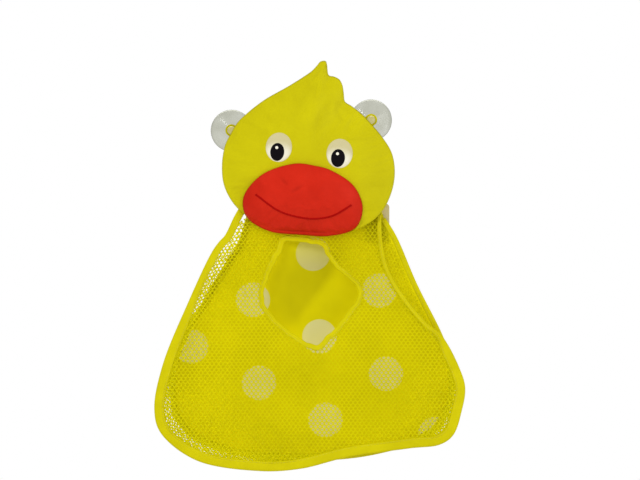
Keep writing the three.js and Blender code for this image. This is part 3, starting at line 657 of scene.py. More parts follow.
smile_path = smooth_path(SMILE_POINTS, False, SMILE_STEPS)
smile_side = path_sides(smile_path, False)
smile_run = np.linalg.norm(np.diff(smile_path, axis=0), axis=1).sum() * np.linspace(0, 1, SMILE_STEPS)
stitch_ridge = 1 - SMILE_RIDGE + SMILE_RIDGE * np.abs(np.sin(np.pi * smile_run / SMILE_STITCH))
around = np.linspace(0, 2 * np.pi, SMILE_SIDES, endpoint=False)
aside = SMILE_HALF_WIDTH * np.cos(around)
above = SMILE_LIFT + SMILE_HALF_HEIGHT * stitch_ridge[:, None] * np.sin(around)
smile_seat = surface_depth(*smile_path.T, beak_front, beak_outline, BEAK_CENTRE)
smile_points = together(smile_path[:, :1] + smile_side[:, :1] * aside,
                        smile_path[:, 1:] + smile_side[:, 1:] * aside, smile_seat[:, None] + above)
smile = new_piece("smile_line", smile_points.reshape(-1, 3), tube_faces(SMILE_STEPS, SMILE_SIDES, False),
                  smile_red)
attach(smile, "organizer")
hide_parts("smile_cord")

# Eyes: ovals of thin heat-transfer film pressed on the head, white, then black, then a small white glint.
# Each film follows the head's front and has a rounded, slightly raised edge.
FACE_TILT = math.radians(-5.8)
EYE_MIDDLE = np.array((8.6, -27.6))
EYE_SPACING = 65.2
EYE_SIZE = (28.0, 31.5)
PUPIL_SIZE = (14.9, 19.2)
PUPIL_OFFSET = (-1.2, -5.1)
GLINT_SIZE = (3.2, 3.2)
GLINT_OFFSET = (-1.0, 4.6)
FILM_STEP = 0.35
FILM_SUNK = 0.15
FILM_SIDES = 64
CREAM_UP = (-0.25, 0.3)
CREAM_EDGE = 0.6

eye_white, shader, node, place = new_material("white_eye_film")
cream = node("Mix", data_type="RGBA", Factor=node("Attribute", attribute_name="cream_share"),
             A=(0.80, 0.77, 0.63, 1), B=(0.55, 0.495, 0.265, 1))
film_noise = node("TexNoise", Vector=place, Scale=420.0, Detail=3.0)
feed(shader, Base_Color=cream, Normal=node("Bump", Strength=0.15, Distance=0.0002, Height=film_noise),
     Roughness=0.45, Specular_IOR_Level=0.08)

eye_black, shader, node, place = new_material("black_eye_film")
black_tint = node("Group", node_tree=mottle, Place=place, Scale=380.0, Low=0.0, High=1.0,
                  Dark=(0.003, 0.002, 0.003, 1), Light=(0.007, 0.005, 0.007, 1))
film_noise = black_tint.node.outputs["Cloud"]
feed(shader, Base_Color=black_tint, Normal=node("Bump", Strength=0.15, Distance=0.0002, Height=film_noise),
     Roughness=0.45, Specular_IOR_Level=0.04)


def tilted(across, up):
    """An offset in the slanted frame of the face, turned to the wall's frame."""
    return np.array((across * math.cos(FACE_TILT) - up * math.sin(FACE_TILT),
                     across * math.sin(FACE_TILT) + up * math.cos(FACE_TILT)))


def film(name, centre, size, layer, material, cad_node):
    """An oval film: rings of points from the middle out, laid on the head's front with a rounded edge; the
    lowest film turns from white to cream towards its top and its edge."""
    shares = np.concatenate([np.linspace(0, 0.92, 12), [0.96, 0.985, 1.0, 1.0, 0.0]])[:, None]
    lift = np.concatenate([np.full(13, 1.0), [0.85, 0.5, 0.0, 0.0]])[:, None]
    angle = np.linspace(0, 2 * np.pi, FILM_SIDES, endpoint=False)
    across = shares * np.cos(angle) * size[0] / 2
    up = shares * np.sin(angle) * size[1] / 2
    x, height = centre[:, None, None] + tilted(across, up)
    seat = surface_depth(x, height, head_front, head_outline, HEAD_CENTRE) + layer * FILM_STEP - FILM_SUNK
    points = together(x, height, seat + lift * (FILM_STEP + FILM_SUNK)).reshape(-1, 3)
    index = np.arange(x.size).reshape(x.shape)
    index[[0, -1]] = index[[0, -1], :1]
    faces = halved(grid_quads(np.concatenate([index, index[:, :1]], axis=1)))
    piece = new_piece(name, points, faces, material)
    creamier = smoothstep(up / size[1], *CREAM_UP) + CREAM_EDGE * shares ** 5
    point_values(piece, "cream_share", np.clip(creamier, 0, 1) * (layer == 0), faces)
    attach(piece, "organizer")
    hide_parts(cad_node)


for side, sign in (("left", -1), ("right", 1)):
    eye_centre = EYE_MIDDLE + tilted(sign * EYE_SPACING / 2, 0)
    pupil_centre = eye_centre + tilted(*PUPIL_OFFSET)
    glint_centre = pupil_centre + tilted(*GLINT_OFFSET)
    film(f"white_of_eye_{side}", eye_centre, EYE_SIZE, 0, eye_white, f"eye_white_{side}")
    film(f"pupil_{side}", pupil_centre, PUPIL_SIZE, 1, eye_black, f"eye_pupil_{side}")
    film(f"glint_{side}", glint_centre, GLINT_SIZE, 2, eye_white, f"eye_glint_{side}")

# Back panel: one layer of printed cloth with big pale dots, hanging flat, its top bent forward to the head.
# The grid of its outline is bent at the top, waved a little and given the cloth's thickness.
BACK_EDGE = np.array([
    (-57, -97), (-67, -128), (-80, -148), (-92, -167), (-105, -190), (-127, -225), (-139, -257),
    (-140.5, -288), (-135, -313), (-122, -331), (-92, -347), (-44, -357), (20, -359), (81, -352), (138, -333),
    (157, -310), (164, -284), (161, -254), (150, -225), (123, -171), (101, -120), (89, -100)], float)
BACK_FLAP = np.array([(78, -66), (-54, -66)], float)
BACK_CENTRE = np.array((10.0, -230.0))
BACK_GRID = 101
BACK_DEPTH = 7.5
BACK_CLOTH = 0.8
BACK_BEND = (-95.0, -79.0)
BACK_FLAT = (-130.0, -100.0)
BACK_FLAP_DEPTH = 17.2
EDGE_STEPS = 480
FLAP_STEPS = (40, 120)
BACK_WAVES = ((0.9, 26, 61), (0.7, -80, 33))
BACK_STAND = 0.6
BACK_CREASES = (
    (-12, -219, 45, -143, 9.0, 1.8), (-30, -250, 60, -262, 8.0, 1.0), (70, -180, 110, -300, 9.0, 1.2))
BACK_SHADE = (14.0, -180.0)
BACK_SHADE_RADIUS = 50.0
BACK_SHADE_SHARES = (1.1, 0.65)
BACK_SHADE_EDGE = 7.0
BACK_SHADE_TINT = (0.78, 0.77, 0.75, 1)
DOTS = ((12.6, -138), (84, -177.5), (-52, -187.5), (19.5, -227), (-118.5, -237.5), (-45.5, -276.8),
        (91, -267), (26, -316.5), (144, -332))
DOT_RADIUS = 18.4
DOT_BLUR = 0.5
# Painted shade: the heights over which the dots near the neck are dulled to half strength.
DOT_SHADE_HEIGHTS = (-165.0, -130.0)
DOT_SHADE_SHARE = 0.5
BACK_THROUGH = 0.5


def waves(x, height, sizes):
    """Soft waves in cloth: slanting sines, each with a height and the lengths of one radian across and up."""
    return sum(size * np.sin(x / across + height / up) for size, across, up in sizes)


def light_through(material, node, colour, share):
    """Thin cloth lets light through: a share of a translucent shader of the same colour is mixed in."""
    nodes = material.node_tree.nodes
    through = node("BsdfTranslucent", Color=colour)
    mixed = node("MixShader", share, nodes["Principled BSDF"].outputs["BSDF"], through, output="Shader")
    feed(nodes["Material Output"], Surface=mixed)


dotted_cloth, shader, node, place = new_material("dotted_cloth")
flat_place = node("VectorMath", place, (1, 0, 1), operation="MULTIPLY")
to_dots = 1.0
for dot_x, dot_height in DOTS:
    to_dot = node("VectorMath", flat_place, (dot_x / 1000, 0, dot_height / 1000), operation="DISTANCE")
    to_dots = node("Math", to_dots, to_dot, operation="MINIMUM")
on_dot = node("MapRange", interpolation_type="SMOOTHSTEP", Value=to_dots,
              From_Min=(DOT_RADIUS + DOT_BLUR) / 1000, From_Max=(DOT_RADIUS - DOT_BLUR) / 1000)
# Painted shade: above the opening the dots are blended half into the ground colour, darker and yellower, as
# they lie in shade near the neck.
dot_strength_in_shade = node("MapRange", Value=node("SeparateXYZ", place, output="Z"),
                      From_Min=DOT_SHADE_HEIGHTS[0] / 1000, From_Max=DOT_SHADE_HEIGHTS[1] / 1000, To_Min=1.0, To_Max=DOT_SHADE_SHARE)
printed = node("Math", on_dot, dot_strength_in_shade, operation="MULTIPLY")
ground = node("Group", node_tree=mottle, Place=place, Scale=18.0, Roughness=0.6,
              Dark=(0.76, 0.70, 0.002, 1), Light=(0.85, 0.785, 0.003, 1))
dot_tint = node("Group", node_tree=mottle, Place=place, Scale=18.0, Roughness=0.6, Low=0.0, High=1.0,
                Dark=(0.77, 0.73, 0.36, 1), Light=(0.85, 0.82, 0.47, 1))
print_tint = node("Mix", data_type="RGBA", Factor=printed, A=ground, B=dot_tint)
# The attribute read here darkens the cloth seen through the bag's opening: painted shade.
fold = node("Attribute", attribute_name="fold")
dotted_tint = node("Group", node_tree=tinted, Colour=print_tint, Share=fold, Tint=BACK_SHADE_TINT)
threads = node("Group", node_tree=weave, Place=place, Threads=650.0)
relief = node("Group", node_tree=crumpled, Place=place, Creases=45.0, Pattern=threads, Share=0.3)
feed(shader, Base_Color=dotted_tint, Normal=node("Bump", Strength=0.4, Distance=0.0006, Height=relief),
     Roughness=0.55, Specular_IOR_Level=0.05)
light_through(dotted_cloth, node, dotted_tint, BACK_THROUGH)

back_edge = smooth_path(BACK_EDGE, False, EDGE_STEPS)
flap_sides = np.concatenate([np.linspace(back_edge[-1], BACK_FLAP[0], FLAP_STEPS[0])[1:-1],
                             np.linspace(BACK_FLAP[0], BACK_FLAP[1], FLAP_STEPS[1]),
                             np.linspace(BACK_FLAP[1], back_edge[0], FLAP_STEPS[0])[1:-1]])
back_outline = np.concatenate([back_edge, flap_sides])
back_x, back_height, back_share = outline_grid(back_outline, BACK_CENTRE, BACK_GRID)
back_wave = waves(back_x, back_height, BACK_WAVES) + BACK_STAND
back_wave -= crease_depth(back_x, back_height, BACK_CREASES)
back_fade = (1 - back_share ** 6) * (1 - smoothstep(back_height, *BACK_FLAT))
back_depth = (BACK_DEPTH + (BACK_FLAP_DEPTH - BACK_DEPTH) * smoothstep(back_height, *BACK_BEND)
              + back_wave * back_fade)
back_points = together(back_x, back_height, back_depth).reshape(-1, 3)
back_faces = outline_faces(np.arange(BACK_GRID ** 2).reshape(BACK_GRID, BACK_GRID))
back_points, back_faces = closed_sheet(back_points, back_faces, BACK_CLOTH, (0, 0, 1))
back_panel = new_piece("dotted_back", back_points, back_faces, dotted_cloth)
# Painted shade: the cloth seen through the opening is darkened round its middle, most on the upper left of
# the first crease; it lies on both faces, so it also shows from behind.
from_shade = np.hypot(back_x - BACK_SHADE[0], back_height - BACK_SHADE[1]) / BACK_SHADE_RADIUS
past_crease = beside_line(back_x, back_height, *BACK_CREASES[0][:4])[1]
back_painted_shade = np.exp(-from_shade ** 4) * (
    BACK_SHADE_SHARES[0] - BACK_SHADE_SHARES[1] * smoothstep(past_crease, -BACK_SHADE_EDGE, BACK_SHADE_EDGE))
point_values(back_panel, "fold", np.tile(back_painted_shade.ravel(), 2), back_faces)
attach(back_panel, "organizer")
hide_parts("back_panel")

# Back seam tape: narrow yellow woven tape, folded over the edge of the back panel and sewn through.
# It is one flattened section swept along the edge, with a row of thread stitches near its inner edge.
TAPE_FOLD_OUT = 1.5
BACK_TAPE_WIDTH = 6.0
TAPE_HALF = 1.5
TAPE_SIDES = 30
TAPE_ROUND = 20.0
TAPE_THIN = (0.45, 1.5)
TAPE_SINK = (0.3, 0.7)
TAPE_PUCKER = 0.5
TAPE_SWAY = ((0.25, 23.0, 0), (0.2, 9.7, 1))
STITCH_PITCH = 3.4
STITCH_LENGTH = 2.5
STITCH_RADIUS = 0.28
STITCH_INSET = 1.8
STITCH_SEAT = 0.9
STITCH_SIDES = 6

yellow_tape, shader, node, place = new_material("yellow_woven_tape")
tape_tint = node("Group", node_tree=mottle, Place=place, Scale=40.0, Detail=4.0, Roughness=0.6,
                 Dark=(0.53, 0.47, 0.001, 1), Light=(0.61, 0.545, 0.002, 1))
rib = node("TexWave", Vector=node("UVMap", uv_map="tape"), Scale=0.42, Distortion=0.6, Detail=2.0,
           bands_direction="X")
fuzz = node("TexNoise", Vector=place, Scale=600.0, Detail=2.0)
relief = node("Math", rib, 0.5, fuzz, operation="MULTIPLY_ADD")
feed(shader, Base_Color=tape_tint, Normal=node("Bump", Strength=0.3, Distance=0.0003, Height=relief),
     Roughness=0.6, Specular_IOR_Level=0.05)

yellow_thread, shader, node, place = new_material("yellow_thread")
thread_tint = node("Group", node_tree=mottle, Place=place, Scale=1500.0, Detail=2.0, Low=0.0, High=1.0,
                   Dark=(0.50, 0.44, 0.004, 1), Light=(0.66, 0.59, 0.010, 1))
feed(shader, Base_Color=thread_tint, Roughness=0.5)


def path_run(path, closed):
    """Distance along a path to each of its points, and its whole length."""
    steps = np.linalg.norm(np.diff(np.concatenate([path, path[:1]]) if closed else path, axis=0), axis=1)
    run = np.concatenate([[0], np.cumsum(steps)])
    return (run[:-1], run[-1]) if closed else (run, run[-1])


def folded_tape(path, closed, width, half):
    """A tape folded over an edge, in the edge's plane: at each place on the path a flattened ring, rounded at
    the fold, crowned on both legs, sunk along the stitches and puckered between them. Gives places on the
    plane, heights over it and triangles; width can differ from place to place."""
    run = path_run(path, closed)[0][:, None]
    width = np.broadcast_to(width, (len(path),))[:, None]
    turn = np.linspace(0, 2 * np.pi, TAPE_SIDES, endpoint=False)
    share = np.abs(1 - turn / np.pi)
    distance = width * share ** 1.5
    thinned = 1 - TAPE_THIN[0] * smoothstep(distance, width - TAPE_THIN[1], width)
    sunk = TAPE_SINK[0] * np.exp(-((distance - width + STITCH_INSET) / TAPE_SINK[1]) ** 2)
    puckered = 1 + TAPE_PUCKER * np.cos(2 * np.pi * run / (2 * STITCH_PITCH))
    crown = half * np.clip(distance / half, 0, 1) ** 0.5 * thinned - sunk * puckered
    sway = sum(size * np.sin(run / length + start) for size, length, start in TAPE_SWAY)
    plane = path[:, None, :] + path_sides(path, closed)[:, None, :] * distance[..., None]
    return plane, crown * np.sign(np.pi - turn) + sway * share, tube_faces(len(path), TAPE_SIDES, closed)


def stitch_row(path, closed, width, half, place_point):
    """A row of stitches on a tape's two faces: each a short capsule with six sides, laid along the path."""
    run, length = path_run(path, closed)
    inward = path_sides(path, closed)
    rail = path + inward * (np.broadcast_to(width, (len(path),))[:, None] - STITCH_INSET)
    count = int(length / STITCH_PITCH)
    start = np.arange(count) * length / count
    along = np.array((0.0, 0.12, 0.5, 0.88, 1.0)) * STITCH_LENGTH
    thick = (np.array((0.25, 0.8, 1.0, 0.8, 0.25)) * STITCH_RADIUS)[None, :, None]
    rings = len(along)
    angle = np.linspace(0, 2 * np.pi, STITCH_SIDES, endpoint=False)
    where = (start[:, None] + along).ravel()
    x, s, across_x, across_s = (np.interp(where, run, value).reshape(count, rings, 1)
                                for value in (*rail.T, *inward.T))
    aside = thick * np.cos(angle)
    lift = half * STITCH_SEAT + thick * np.sin(angle)
    points = [place_point(x + across_x * aside, s + across_s * aside, face * lift).reshape(-1, 3)
              for face in (1, -1)]
    single = tube_faces(rings, STITCH_SIDES, False)
    first = np.arange(count)[:, None, None] * rings * STITCH_SIDES
    faces = [(single + first).reshape(-1, 3), (single[:, ::-1] + first).reshape(-1, 3) + len(points[0])]
    return np.concatenate(points), np.concatenate(faces)


def lay_flat(piece, flat_place):
    """Writes where each point lies on the flat tape into a piece's UV map, which the tape's ribs follow."""
    corner = np.empty(len(piece.data.loops), np.int32)
    piece.data.loops.foreach_get("vertex_index", corner)
    tape_map = piece.data.uv_layers.new(name="tape")
    tape_map.data.foreach_set("uv", flat_place[corner].astype(np.float32).ravel())


def tape_pieces(name, path, closed, width, half, place_point, body, cad_node):
    """A folded tape and its stitches as two pieces, placed by place_point and carried by a body."""
    plane, height, faces = folded_tape(path, closed, width, half)
    tape = new_piece(name, place_point(*np.moveaxis(plane, -1, 0), height).reshape(-1, 3), faces, yellow_tape)
    round_tape = np.arange(TAPE_SIDES) / TAPE_SIDES * TAPE_ROUND
    lay_flat(tape, together(path_run(path, closed)[0][:, None], round_tape).reshape(-1, 2))
    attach(tape, body)
    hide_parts(cad_node)
    stitches = new_piece(f"{name}_stitches", *stitch_row(path, closed, width, half, place_point),
                         yellow_thread)
    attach(stitches, body)
    return tape, stitches


def on_back(x, height, lift):
    """A place on the back panel's plane, lifted off it."""
    return together(x, height, BACK_DEPTH + lift)


back_tape_path = back_edge - path_sides(back_edge, False) * TAPE_FOLD_OUT
back_tape, back_stitches = tape_pieces(
    "back_tape", back_tape_path, False, BACK_TAPE_WIDTH, TAPE_HALF, on_back, "organizer", "back_seam_tape")

# Front binding: wider tape of the same kind, folded over the edge of the net front and sewn through.
# It runs from neck to neck round the bag in the front's leaning plane, and rolls to a ridge on the right.
FRONT_EDGE = np.array([
    (-65.5, -86.5), (-72, -98), (-82, -118.5), (-88, -125), (-96, -136.5), (-121, -190), (-148, -257),
    (-156.5, -303), (-150, -328), (-112, -357.5), (-44, -369), (0, -366.5), (49, -354.5), (116, -345),
    (148, -341), (162, -331), (171, -306), (175, -281), (169, -260), (150, -225), (133, -211), (102, -171),
    (91, -147), (86.5, -120), (86, -96)], float)
HINGE_HEIGHT = -106.0
HINGE_DEPTH = 14.5
FRONT_LEAN = math.radians(7.9)
FRONT_CENTRE = np.array((8.0, -150.0))
BINDING_WIDTH = 10.6
RIDGE_WIDTH = 4.6
RIDGE_FROM = (-245.0, -215.0)
NECK_WIDTH = 8.2
NECK_FROM = (-230.0, -170.0)
NET_BULGE = 3.5
NET_WAVES = ((0.9, 17, 41), (0.6, -29, 13))
NECK_FLAT = (-6.0, -36.0)
NECK_STEPS = 80


def in_front_plane(path):
    """Heights of a path written as distances along the leaning front from its hinge."""
    return together(path[:, 0], (path[:, 1] - HINGE_HEIGHT) / math.cos(FRONT_LEAN))


def closed_at_neck(edge):
    """The outline that an edge from neck to neck makes with a straight line across the neck."""
    return np.concatenate([edge, np.linspace(edge[-1], edge[0], NECK_STEPS)[1:-1]])


def on_front(x, along, lift):
    """A place on the leaning front: bulged and rippled in the middle, flat at edge and neck, then lifted."""
    aside, below = x - FRONT_CENTRE[0], along - FRONT_CENTRE[1]
    share = np.hypot(below, aside) / outline_reach(front_outline, FRONT_CENTRE, np.arctan2(below, aside))
    fade = np.clip(1 - share ** 4, 0, 1) * smoothstep(along, *NECK_FLAT)
    out = lift + fade * (NET_BULGE + waves(x, along, NET_WAVES))
    return together(x, HINGE_HEIGHT + along * math.cos(FRONT_LEAN) + out * math.sin(FRONT_LEAN),
                    HINGE_DEPTH - along * math.sin(FRONT_LEAN) + out * math.cos(FRONT_LEAN))


front_edge = in_front_plane(smooth_path(FRONT_EDGE, False, EDGE_STEPS))
front_outline = closed_at_neck(front_edge)
front_height = front_edge[:, 1] * math.cos(FRONT_LEAN) + HINGE_HEIGHT
binding_width = BINDING_WIDTH + np.where(
    front_edge[:, 0] > 0, (RIDGE_WIDTH - BINDING_WIDTH) * smoothstep(front_height, *RIDGE_FROM),
    (NECK_WIDTH - BINDING_WIDTH) * smoothstep(front_height, *NECK_FROM))
front_binding, front_stitches = tape_pieces(
    "front_edge_binding", front_edge, False, binding_width, TAPE_HALF, on_front, "net_front", "front_binding")

# Mouth binding: narrow flat tape folded over the edge of the opening that toys go in through.
# It is drawn on the photographed edge of the opening and waves a little where hands pull on it.
MOUTH_EDGE = np.array([
    (-17.8, -126.1), (-5, -125.5), (10.1, -127), (20.7, -129.9), (28.3, -142), (41.9, -158.6), (54, -167.7),
    (60.7, -176), (61.5, -181.3), (49.4, -200.9), (37.3, -216.1), (25.2, -228.2), (17.7, -235.7), (4, -231.2),
    (-9.5, -223.6), (-22.3, -213), (-32.9, -202.5), (-38.3, -193.4), (-39.8, -182.8), (-38.3, -172.2),
    (-32.9, -158.6), (-26.2, -145), (-20.8, -134.5)])
MOUTH_WIDTH = 5.6
MOUTH_WIDER = (0.7, 2, 2.2)
MOUTH_SWAY = ((0.35, 9, 0), (0.3, 17, 1), (0.25, 31, 0))
MOUTH_TAPE_HALF = 1.0
MOUTH_STEPS = 420

mouth_inner = in_front_plane(smooth_path(MOUTH_EDGE, True, MOUTH_STEPS))
mouth_turn = np.linspace(0, 2 * np.pi, MOUTH_STEPS, endpoint=False)
mouth_sway, mouth_wider = (sum(size * np.sin(count * mouth_turn + start) for size, count, start in sizes)
                           for sizes in (MOUTH_SWAY, [MOUTH_WIDER]))
mouth_path = mouth_inner + path_sides(mouth_inner, True) * mouth_sway[:, None]
mouth_binding, mouth_stitches = tape_pieces(
    "mouth_edge_binding", mouth_path, True, MOUTH_WIDTH + mouth_wider, MOUTH_TAPE_HALF, on_front, "net_front",
    "mouth_binding")

# Net front: knitted yellow net with six-sided holes, held by the two bindings.
# Each hole is a hexagon drawn in from its cell; the strands between them get the thread's thickness.
NET_PITCH = 4.7
NET_ROW = 3.2
NET_OPEN = 0.76
NET_WAIST = 0.68
NET_THREAD = 1.0
NET_TOP = 5.0
NET_IN_BINDING = 0.25
NET_IN_MOUTH = 2.0
NET_THROUGH = 0.75

yellow_net, shader, node, place = new_material("yellow_net_thread")
fibre = node("TexNoise", Vector=place, Scale=1200.0, Detail=2.0)
shade = node("TexNoise", Vector=place, Scale=14.0, Detail=2.0)
shaded_fibre = node("Math", fibre, 0.5, shade, operation="MULTIPLY_ADD")
net_tint = node("Mix", data_type="RGBA", A=(0.835, 0.806, 0.001, 1), B=(0.91, 0.88, 0.003, 1),
                Factor=node("MapRange", Value=shaded_fibre, From_Min=0.45, From_Max=0.95))
feed(shader, Base_Color=net_tint, Normal=node("Bump", Strength=0.3, Distance=0.0002, Height=fibre),
     Roughness=0.45, Specular_IOR_Level=0.15)
light_through(yellow_net, node, net_tint, NET_THROUGH)


def inside_outline(x, height, outline):
    """Which places lie inside an outline: those from which a level line to the right crosses it an odd number
    of times."""
    crossed = np.zeros(np.shape(x), bool)
    for (ax, ah), (bx, bh) in zip(outline, np.roll(outline, -1, axis=0)):
        if ah != bh:
            spans = (ah > height) != (bh > height)
            crossed ^= spans & (x < (bx - ax) * (height - ah) / (bh - ah) + ax)
    return crossed


def net_holes(low, high, keep):
    """A flat net over a rectangle: staggered rows of six-cornered holes. Gives the corners of the holes that
    are kept, wide at the faces of the net and narrow between them, and the triangles of the strands between
    neighbours."""
    rise = (NET_ROW ** 2 - NET_PITCH ** 2 / 4) / (2 * NET_ROW)
    corner = np.array([
        (NET_PITCH / 2, rise), (0, NET_ROW - rise), (-NET_PITCH / 2, rise),
        (-NET_PITCH / 2, -rise), (0, rise - NET_ROW), (NET_PITCH / 2, -rise)])
    rows = int((high[1] - low[1]) / NET_ROW)
    columns = int((high[0] - low[0]) / NET_PITCH)
    row, column = np.meshgrid(np.arange(rows), np.arange(columns), indexing="ij")
    odd = row % 2
    x = low[0] + (column + 0.5 * odd) * NET_PITCH
    y = low[1] + row * NET_ROW
    kept = keep(x, y)
    number = np.where(kept, np.cumsum(kept).reshape(kept.shape) - 1, -1)
    padded = np.pad(number, ((0, 1), (1, 1)), constant_values=-1)
    here, right = padded[row, column + 1], padded[row, column + 2]
    upper_right, upper_left = padded[row + 1, column + 1 + odd], padded[row + 1, column + odd]

    def strands(kinds, *others):
        places = (here, *others)
        present = np.logical_and.reduce([place >= 0 for place in places])
        return np.stack([places[which][present] * len(corner) + point for which, point in kinds], axis=1)

    quads = [strands([(0, 0), (1, 4), (1, 3), (0, 1)], upper_right),
             strands([(0, 1), (1, 5), (1, 4), (0, 2)], upper_left),
             strands([(0, 5), (1, 3), (1, 2), (0, 0)], right)]
    knots = [strands([(0, 0), (1, 2), (2, 4)], right, upper_right),
             strands([(0, 1), (1, 3), (2, 5)], upper_right, upper_left)]
    middle = np.stack([x[kept], y[kept]], axis=1)[:, None, :]
    points, waist = ((middle + corner * share).reshape(-1, 2) for share in (NET_OPEN, NET_WAIST))
    return points, waist, np.concatenate([halved(np.concatenate(quads)), *knots])


net_edge = front_edge + path_sides(front_edge, False) * (binding_width * NET_IN_BINDING)[:, None]
net_outline = closed_at_neck(net_edge)
net_mouth = mouth_path + path_sides(mouth_path, True) * NET_IN_MOUTH
net_flat, net_waist, net_faces = net_holes(
    net_outline.min(axis=0), net_outline.max(axis=0),
    lambda x, y: inside_outline(x, y, net_outline) & ~inside_outline(x, y, net_mouth) & (y < NET_TOP))
net_points, net_waist = (on_front(*flat.T, 0.0) for flat in (net_flat, net_waist))
net_across = (0, math.sin(FRONT_LEAN), math.cos(FRONT_LEAN))
net_points, net_faces = closed_sheet(net_points, net_faces, NET_THREAD, net_across, net_waist)
front_net = new_piece("yellow_net_front", net_points, net_faces, yellow_net)
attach(front_net, "net_front")
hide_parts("front_net")

# Gusset: a strip of the same net from the back panel's edge to the front binding, the bag's depth.
# Its net is drawn flat along the strip and laid between the two edges.
GUSSET_BACK_INSET = 6.0
GUSSET_FRONT_INSET = 8.0
GUSSET_FOOT = 8.6
GUSSET_FRONT_LIFT = -1.7
GUSSET_START = 0.5
GUSSET_BLEND = 0.014

gusset_back_edge = back_edge + path_sides(back_edge, False) * GUSSET_BACK_INSET
gusset_back = together(*gusset_back_edge.T, GUSSET_FOOT)
gusset_front_edge = front_edge + path_sides(front_edge, False) * GUSSET_FRONT_INSET
gusset_front = on_front(*gusset_front_edge.T, GUSSET_FRONT_LIFT)
gusset_width = np.linalg.norm(gusset_front - gusset_back, axis=1)
gusset_run, gusset_length = path_run((gusset_front + gusset_back) / 2, False)
gusset_flat, gusset_waist, gusset_faces = net_holes(
    (0.0, GUSSET_START), (gusset_length, gusset_width.max()),
    lambda x, y: y < np.interp(x, gusset_run, gusset_width))


def on_gusset(run, across):
    """A place on the strip: a share of the way from the back edge to the front, at a distance along it."""
    back, front = (np.stack([np.interp(run, gusset_run, value) for value in edge.T], axis=-1)
                   for edge in (gusset_back, gusset_front))
    share = (across / np.interp(run, gusset_run, gusset_width))[..., None]
    return back + (front - back) * np.clip(share, 0, 1)


gusset_points, gusset_waist = (on_gusset(*flat.T) for flat in (gusset_flat, gusset_waist))
flat_run, flat_across = gusset_flat.T
ahead = on_gusset(flat_run + 1, flat_across) - on_gusset(flat_run - 1, flat_across)
outward = on_gusset(flat_run, 4.0) - on_gusset(flat_run, 0.0)
gusset_across = np.cross(ahead, outward)
gusset_across /= np.linalg.norm(gusset_across, axis=1, keepdims=True)
gusset_points, gusset_faces = closed_sheet(gusset_points, gusset_faces, NET_THREAD, gusset_across,
                                           gusset_waist)
gusset = new_piece("net_gusset", gusset_points, gusset_faces, yellow_net)
fold_across = np.array((0, -1, math.tan(FRONT_LEAN / 2)))
fold_across *= GUSSET_BLEND / np.linalg.norm(fold_across)
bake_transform(gusset)
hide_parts("gusset_net")

# Neck tape: a flat woven strip on the back of the head, over the seam where the bag is sewn on.
# It is a low rounded slab with ribs across it.
NECK_MIDDLE = (8.0, -106.0, 17.1)
NECK_HALF = (58.0, 5.0, 0.7)
NECK_GRID = 41


def soft_slab(middle, half, count):
    """A flat strip with rounded edges: a grid whose front and back draw together towards its border."""
    side = np.linspace(-1, 1, count)
    a, b = np.meshgrid(side, side, indexing="ij")
    bulge = ((1 - a ** 40) * (1 - b ** 12)) ** 0.5
    layers = [together(middle[0] + half[0] * a, middle[1] + half[1] * b, middle[2] + face * half[2] * bulge)
              for face in (1, -1)]
    return np.concatenate([layer.reshape(-1, 3) for layer in layers]), pad_faces(count)


neck_points, neck_faces = soft_slab(NECK_MIDDLE, NECK_HALF, NECK_GRID)
neck_tape = new_piece("neck_seam_tape", neck_points, neck_faces, yellow_tape)
lay_flat(neck_tape, neck_points[np.unique(neck_faces), :2])
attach(neck_tape, "organizer")
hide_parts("neck_tape")

# Side tag: a blank folded label of beige satin ribbon, sewn on the back seam with its loose end hanging.
# It is a thin sheet with a rounded corner and a slight curl.
TAG_RIGHT = 94.7
TAG_TOP = -84.0
TAG_SIZE = (26.0, 42.0)
TAG_ROUNDING = (1.0, 2.0, 5.0, 1.0)
TAG_STEPS = 240
TAG_GRID = 41
TAG_DEPTH = 5.0
TAG_CLOTH = 0.5
TAG_CURL = 0.6
TAG_CURL_LENGTH = 14.0
TAG_CURL_FROM = 16.0

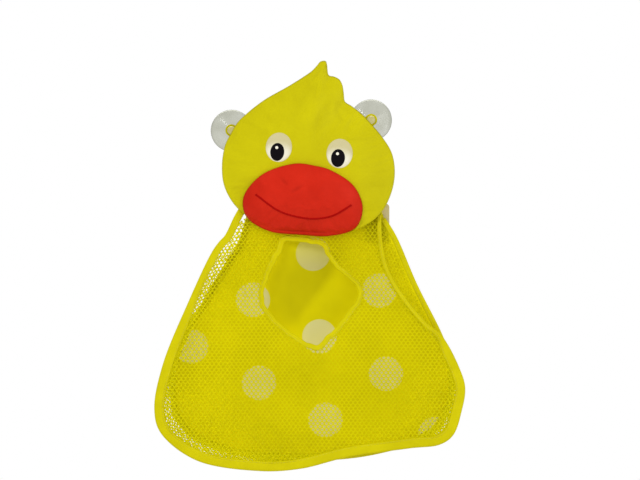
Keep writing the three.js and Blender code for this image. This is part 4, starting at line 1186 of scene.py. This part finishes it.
tag_cloth, shader, node, place = new_material("beige_ribbon")
tag_tint = node("Group", node_tree=mottle, Place=place, Scale=60.0, Detail=4.0,
                Dark=(0.55, 0.465, 0.215, 1), Light=(0.66, 0.565, 0.285, 1))
thread = node("TexWave", Vector=place, Scale=900.0, Distortion=0.8, Detail=2.0, bands_direction="Z")
feed(shader, Base_Color=tag_tint, Normal=node("Bump", Strength=0.25, Distance=0.0003, Height=thread),
     Roughness=0.4)


def rounded_corners(corners, rounding):
    """A closed outline whose corners are quadratic curves that start and end a given distance from each."""
    parts = []
    for number, corner in enumerate(corners):
        before, after = (corner + (other - corner) / np.linalg.norm(other - corner) * rounding[number]
                         for other in (corners[number - 1], corners[(number + 1) % len(corners)]))
        parts.append(bend(before, corner, after, 40))
    return np.concatenate(parts)


def evenly(path, count):
    """A closed path's points respaced at even distances."""
    run, length = path_run(path, True)
    wanted = np.linspace(0, length, count, endpoint=False)
    return np.stack([np.interp(wanted, np.append(run, length), np.append(value, value[0]))
                     for value in path.T], axis=1)


tag_left, tag_bottom = TAG_RIGHT - TAG_SIZE[0], TAG_TOP - TAG_SIZE[1]
tag_corners = np.array([(tag_left, tag_bottom), (TAG_RIGHT, tag_bottom), (TAG_RIGHT, TAG_TOP),
                        (tag_left, TAG_TOP)])
tag_outline = evenly(rounded_corners(tag_corners, TAG_ROUNDING), TAG_STEPS)
tag_x, tag_height = outline_grid(tag_outline, tag_corners.mean(axis=0), TAG_GRID)[:2]
tag_curl = (-TAG_CURL * np.sin((tag_height - TAG_TOP) / TAG_CURL_LENGTH) ** 2
            * smoothstep(tag_x, TAG_RIGHT - TAG_CURL_FROM, TAG_RIGHT))
tag_points = together(tag_x, tag_height, TAG_DEPTH + tag_curl).reshape(-1, 3)
tag_faces = outline_faces(np.arange(TAG_GRID ** 2).reshape(TAG_GRID, TAG_GRID))
tag = new_piece("blank_side_tag", *closed_sheet(tag_points, tag_faces, TAG_CLOTH, (0, 0, 1)), tag_cloth)
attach(tag, "organizer")
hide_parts("side_tag")
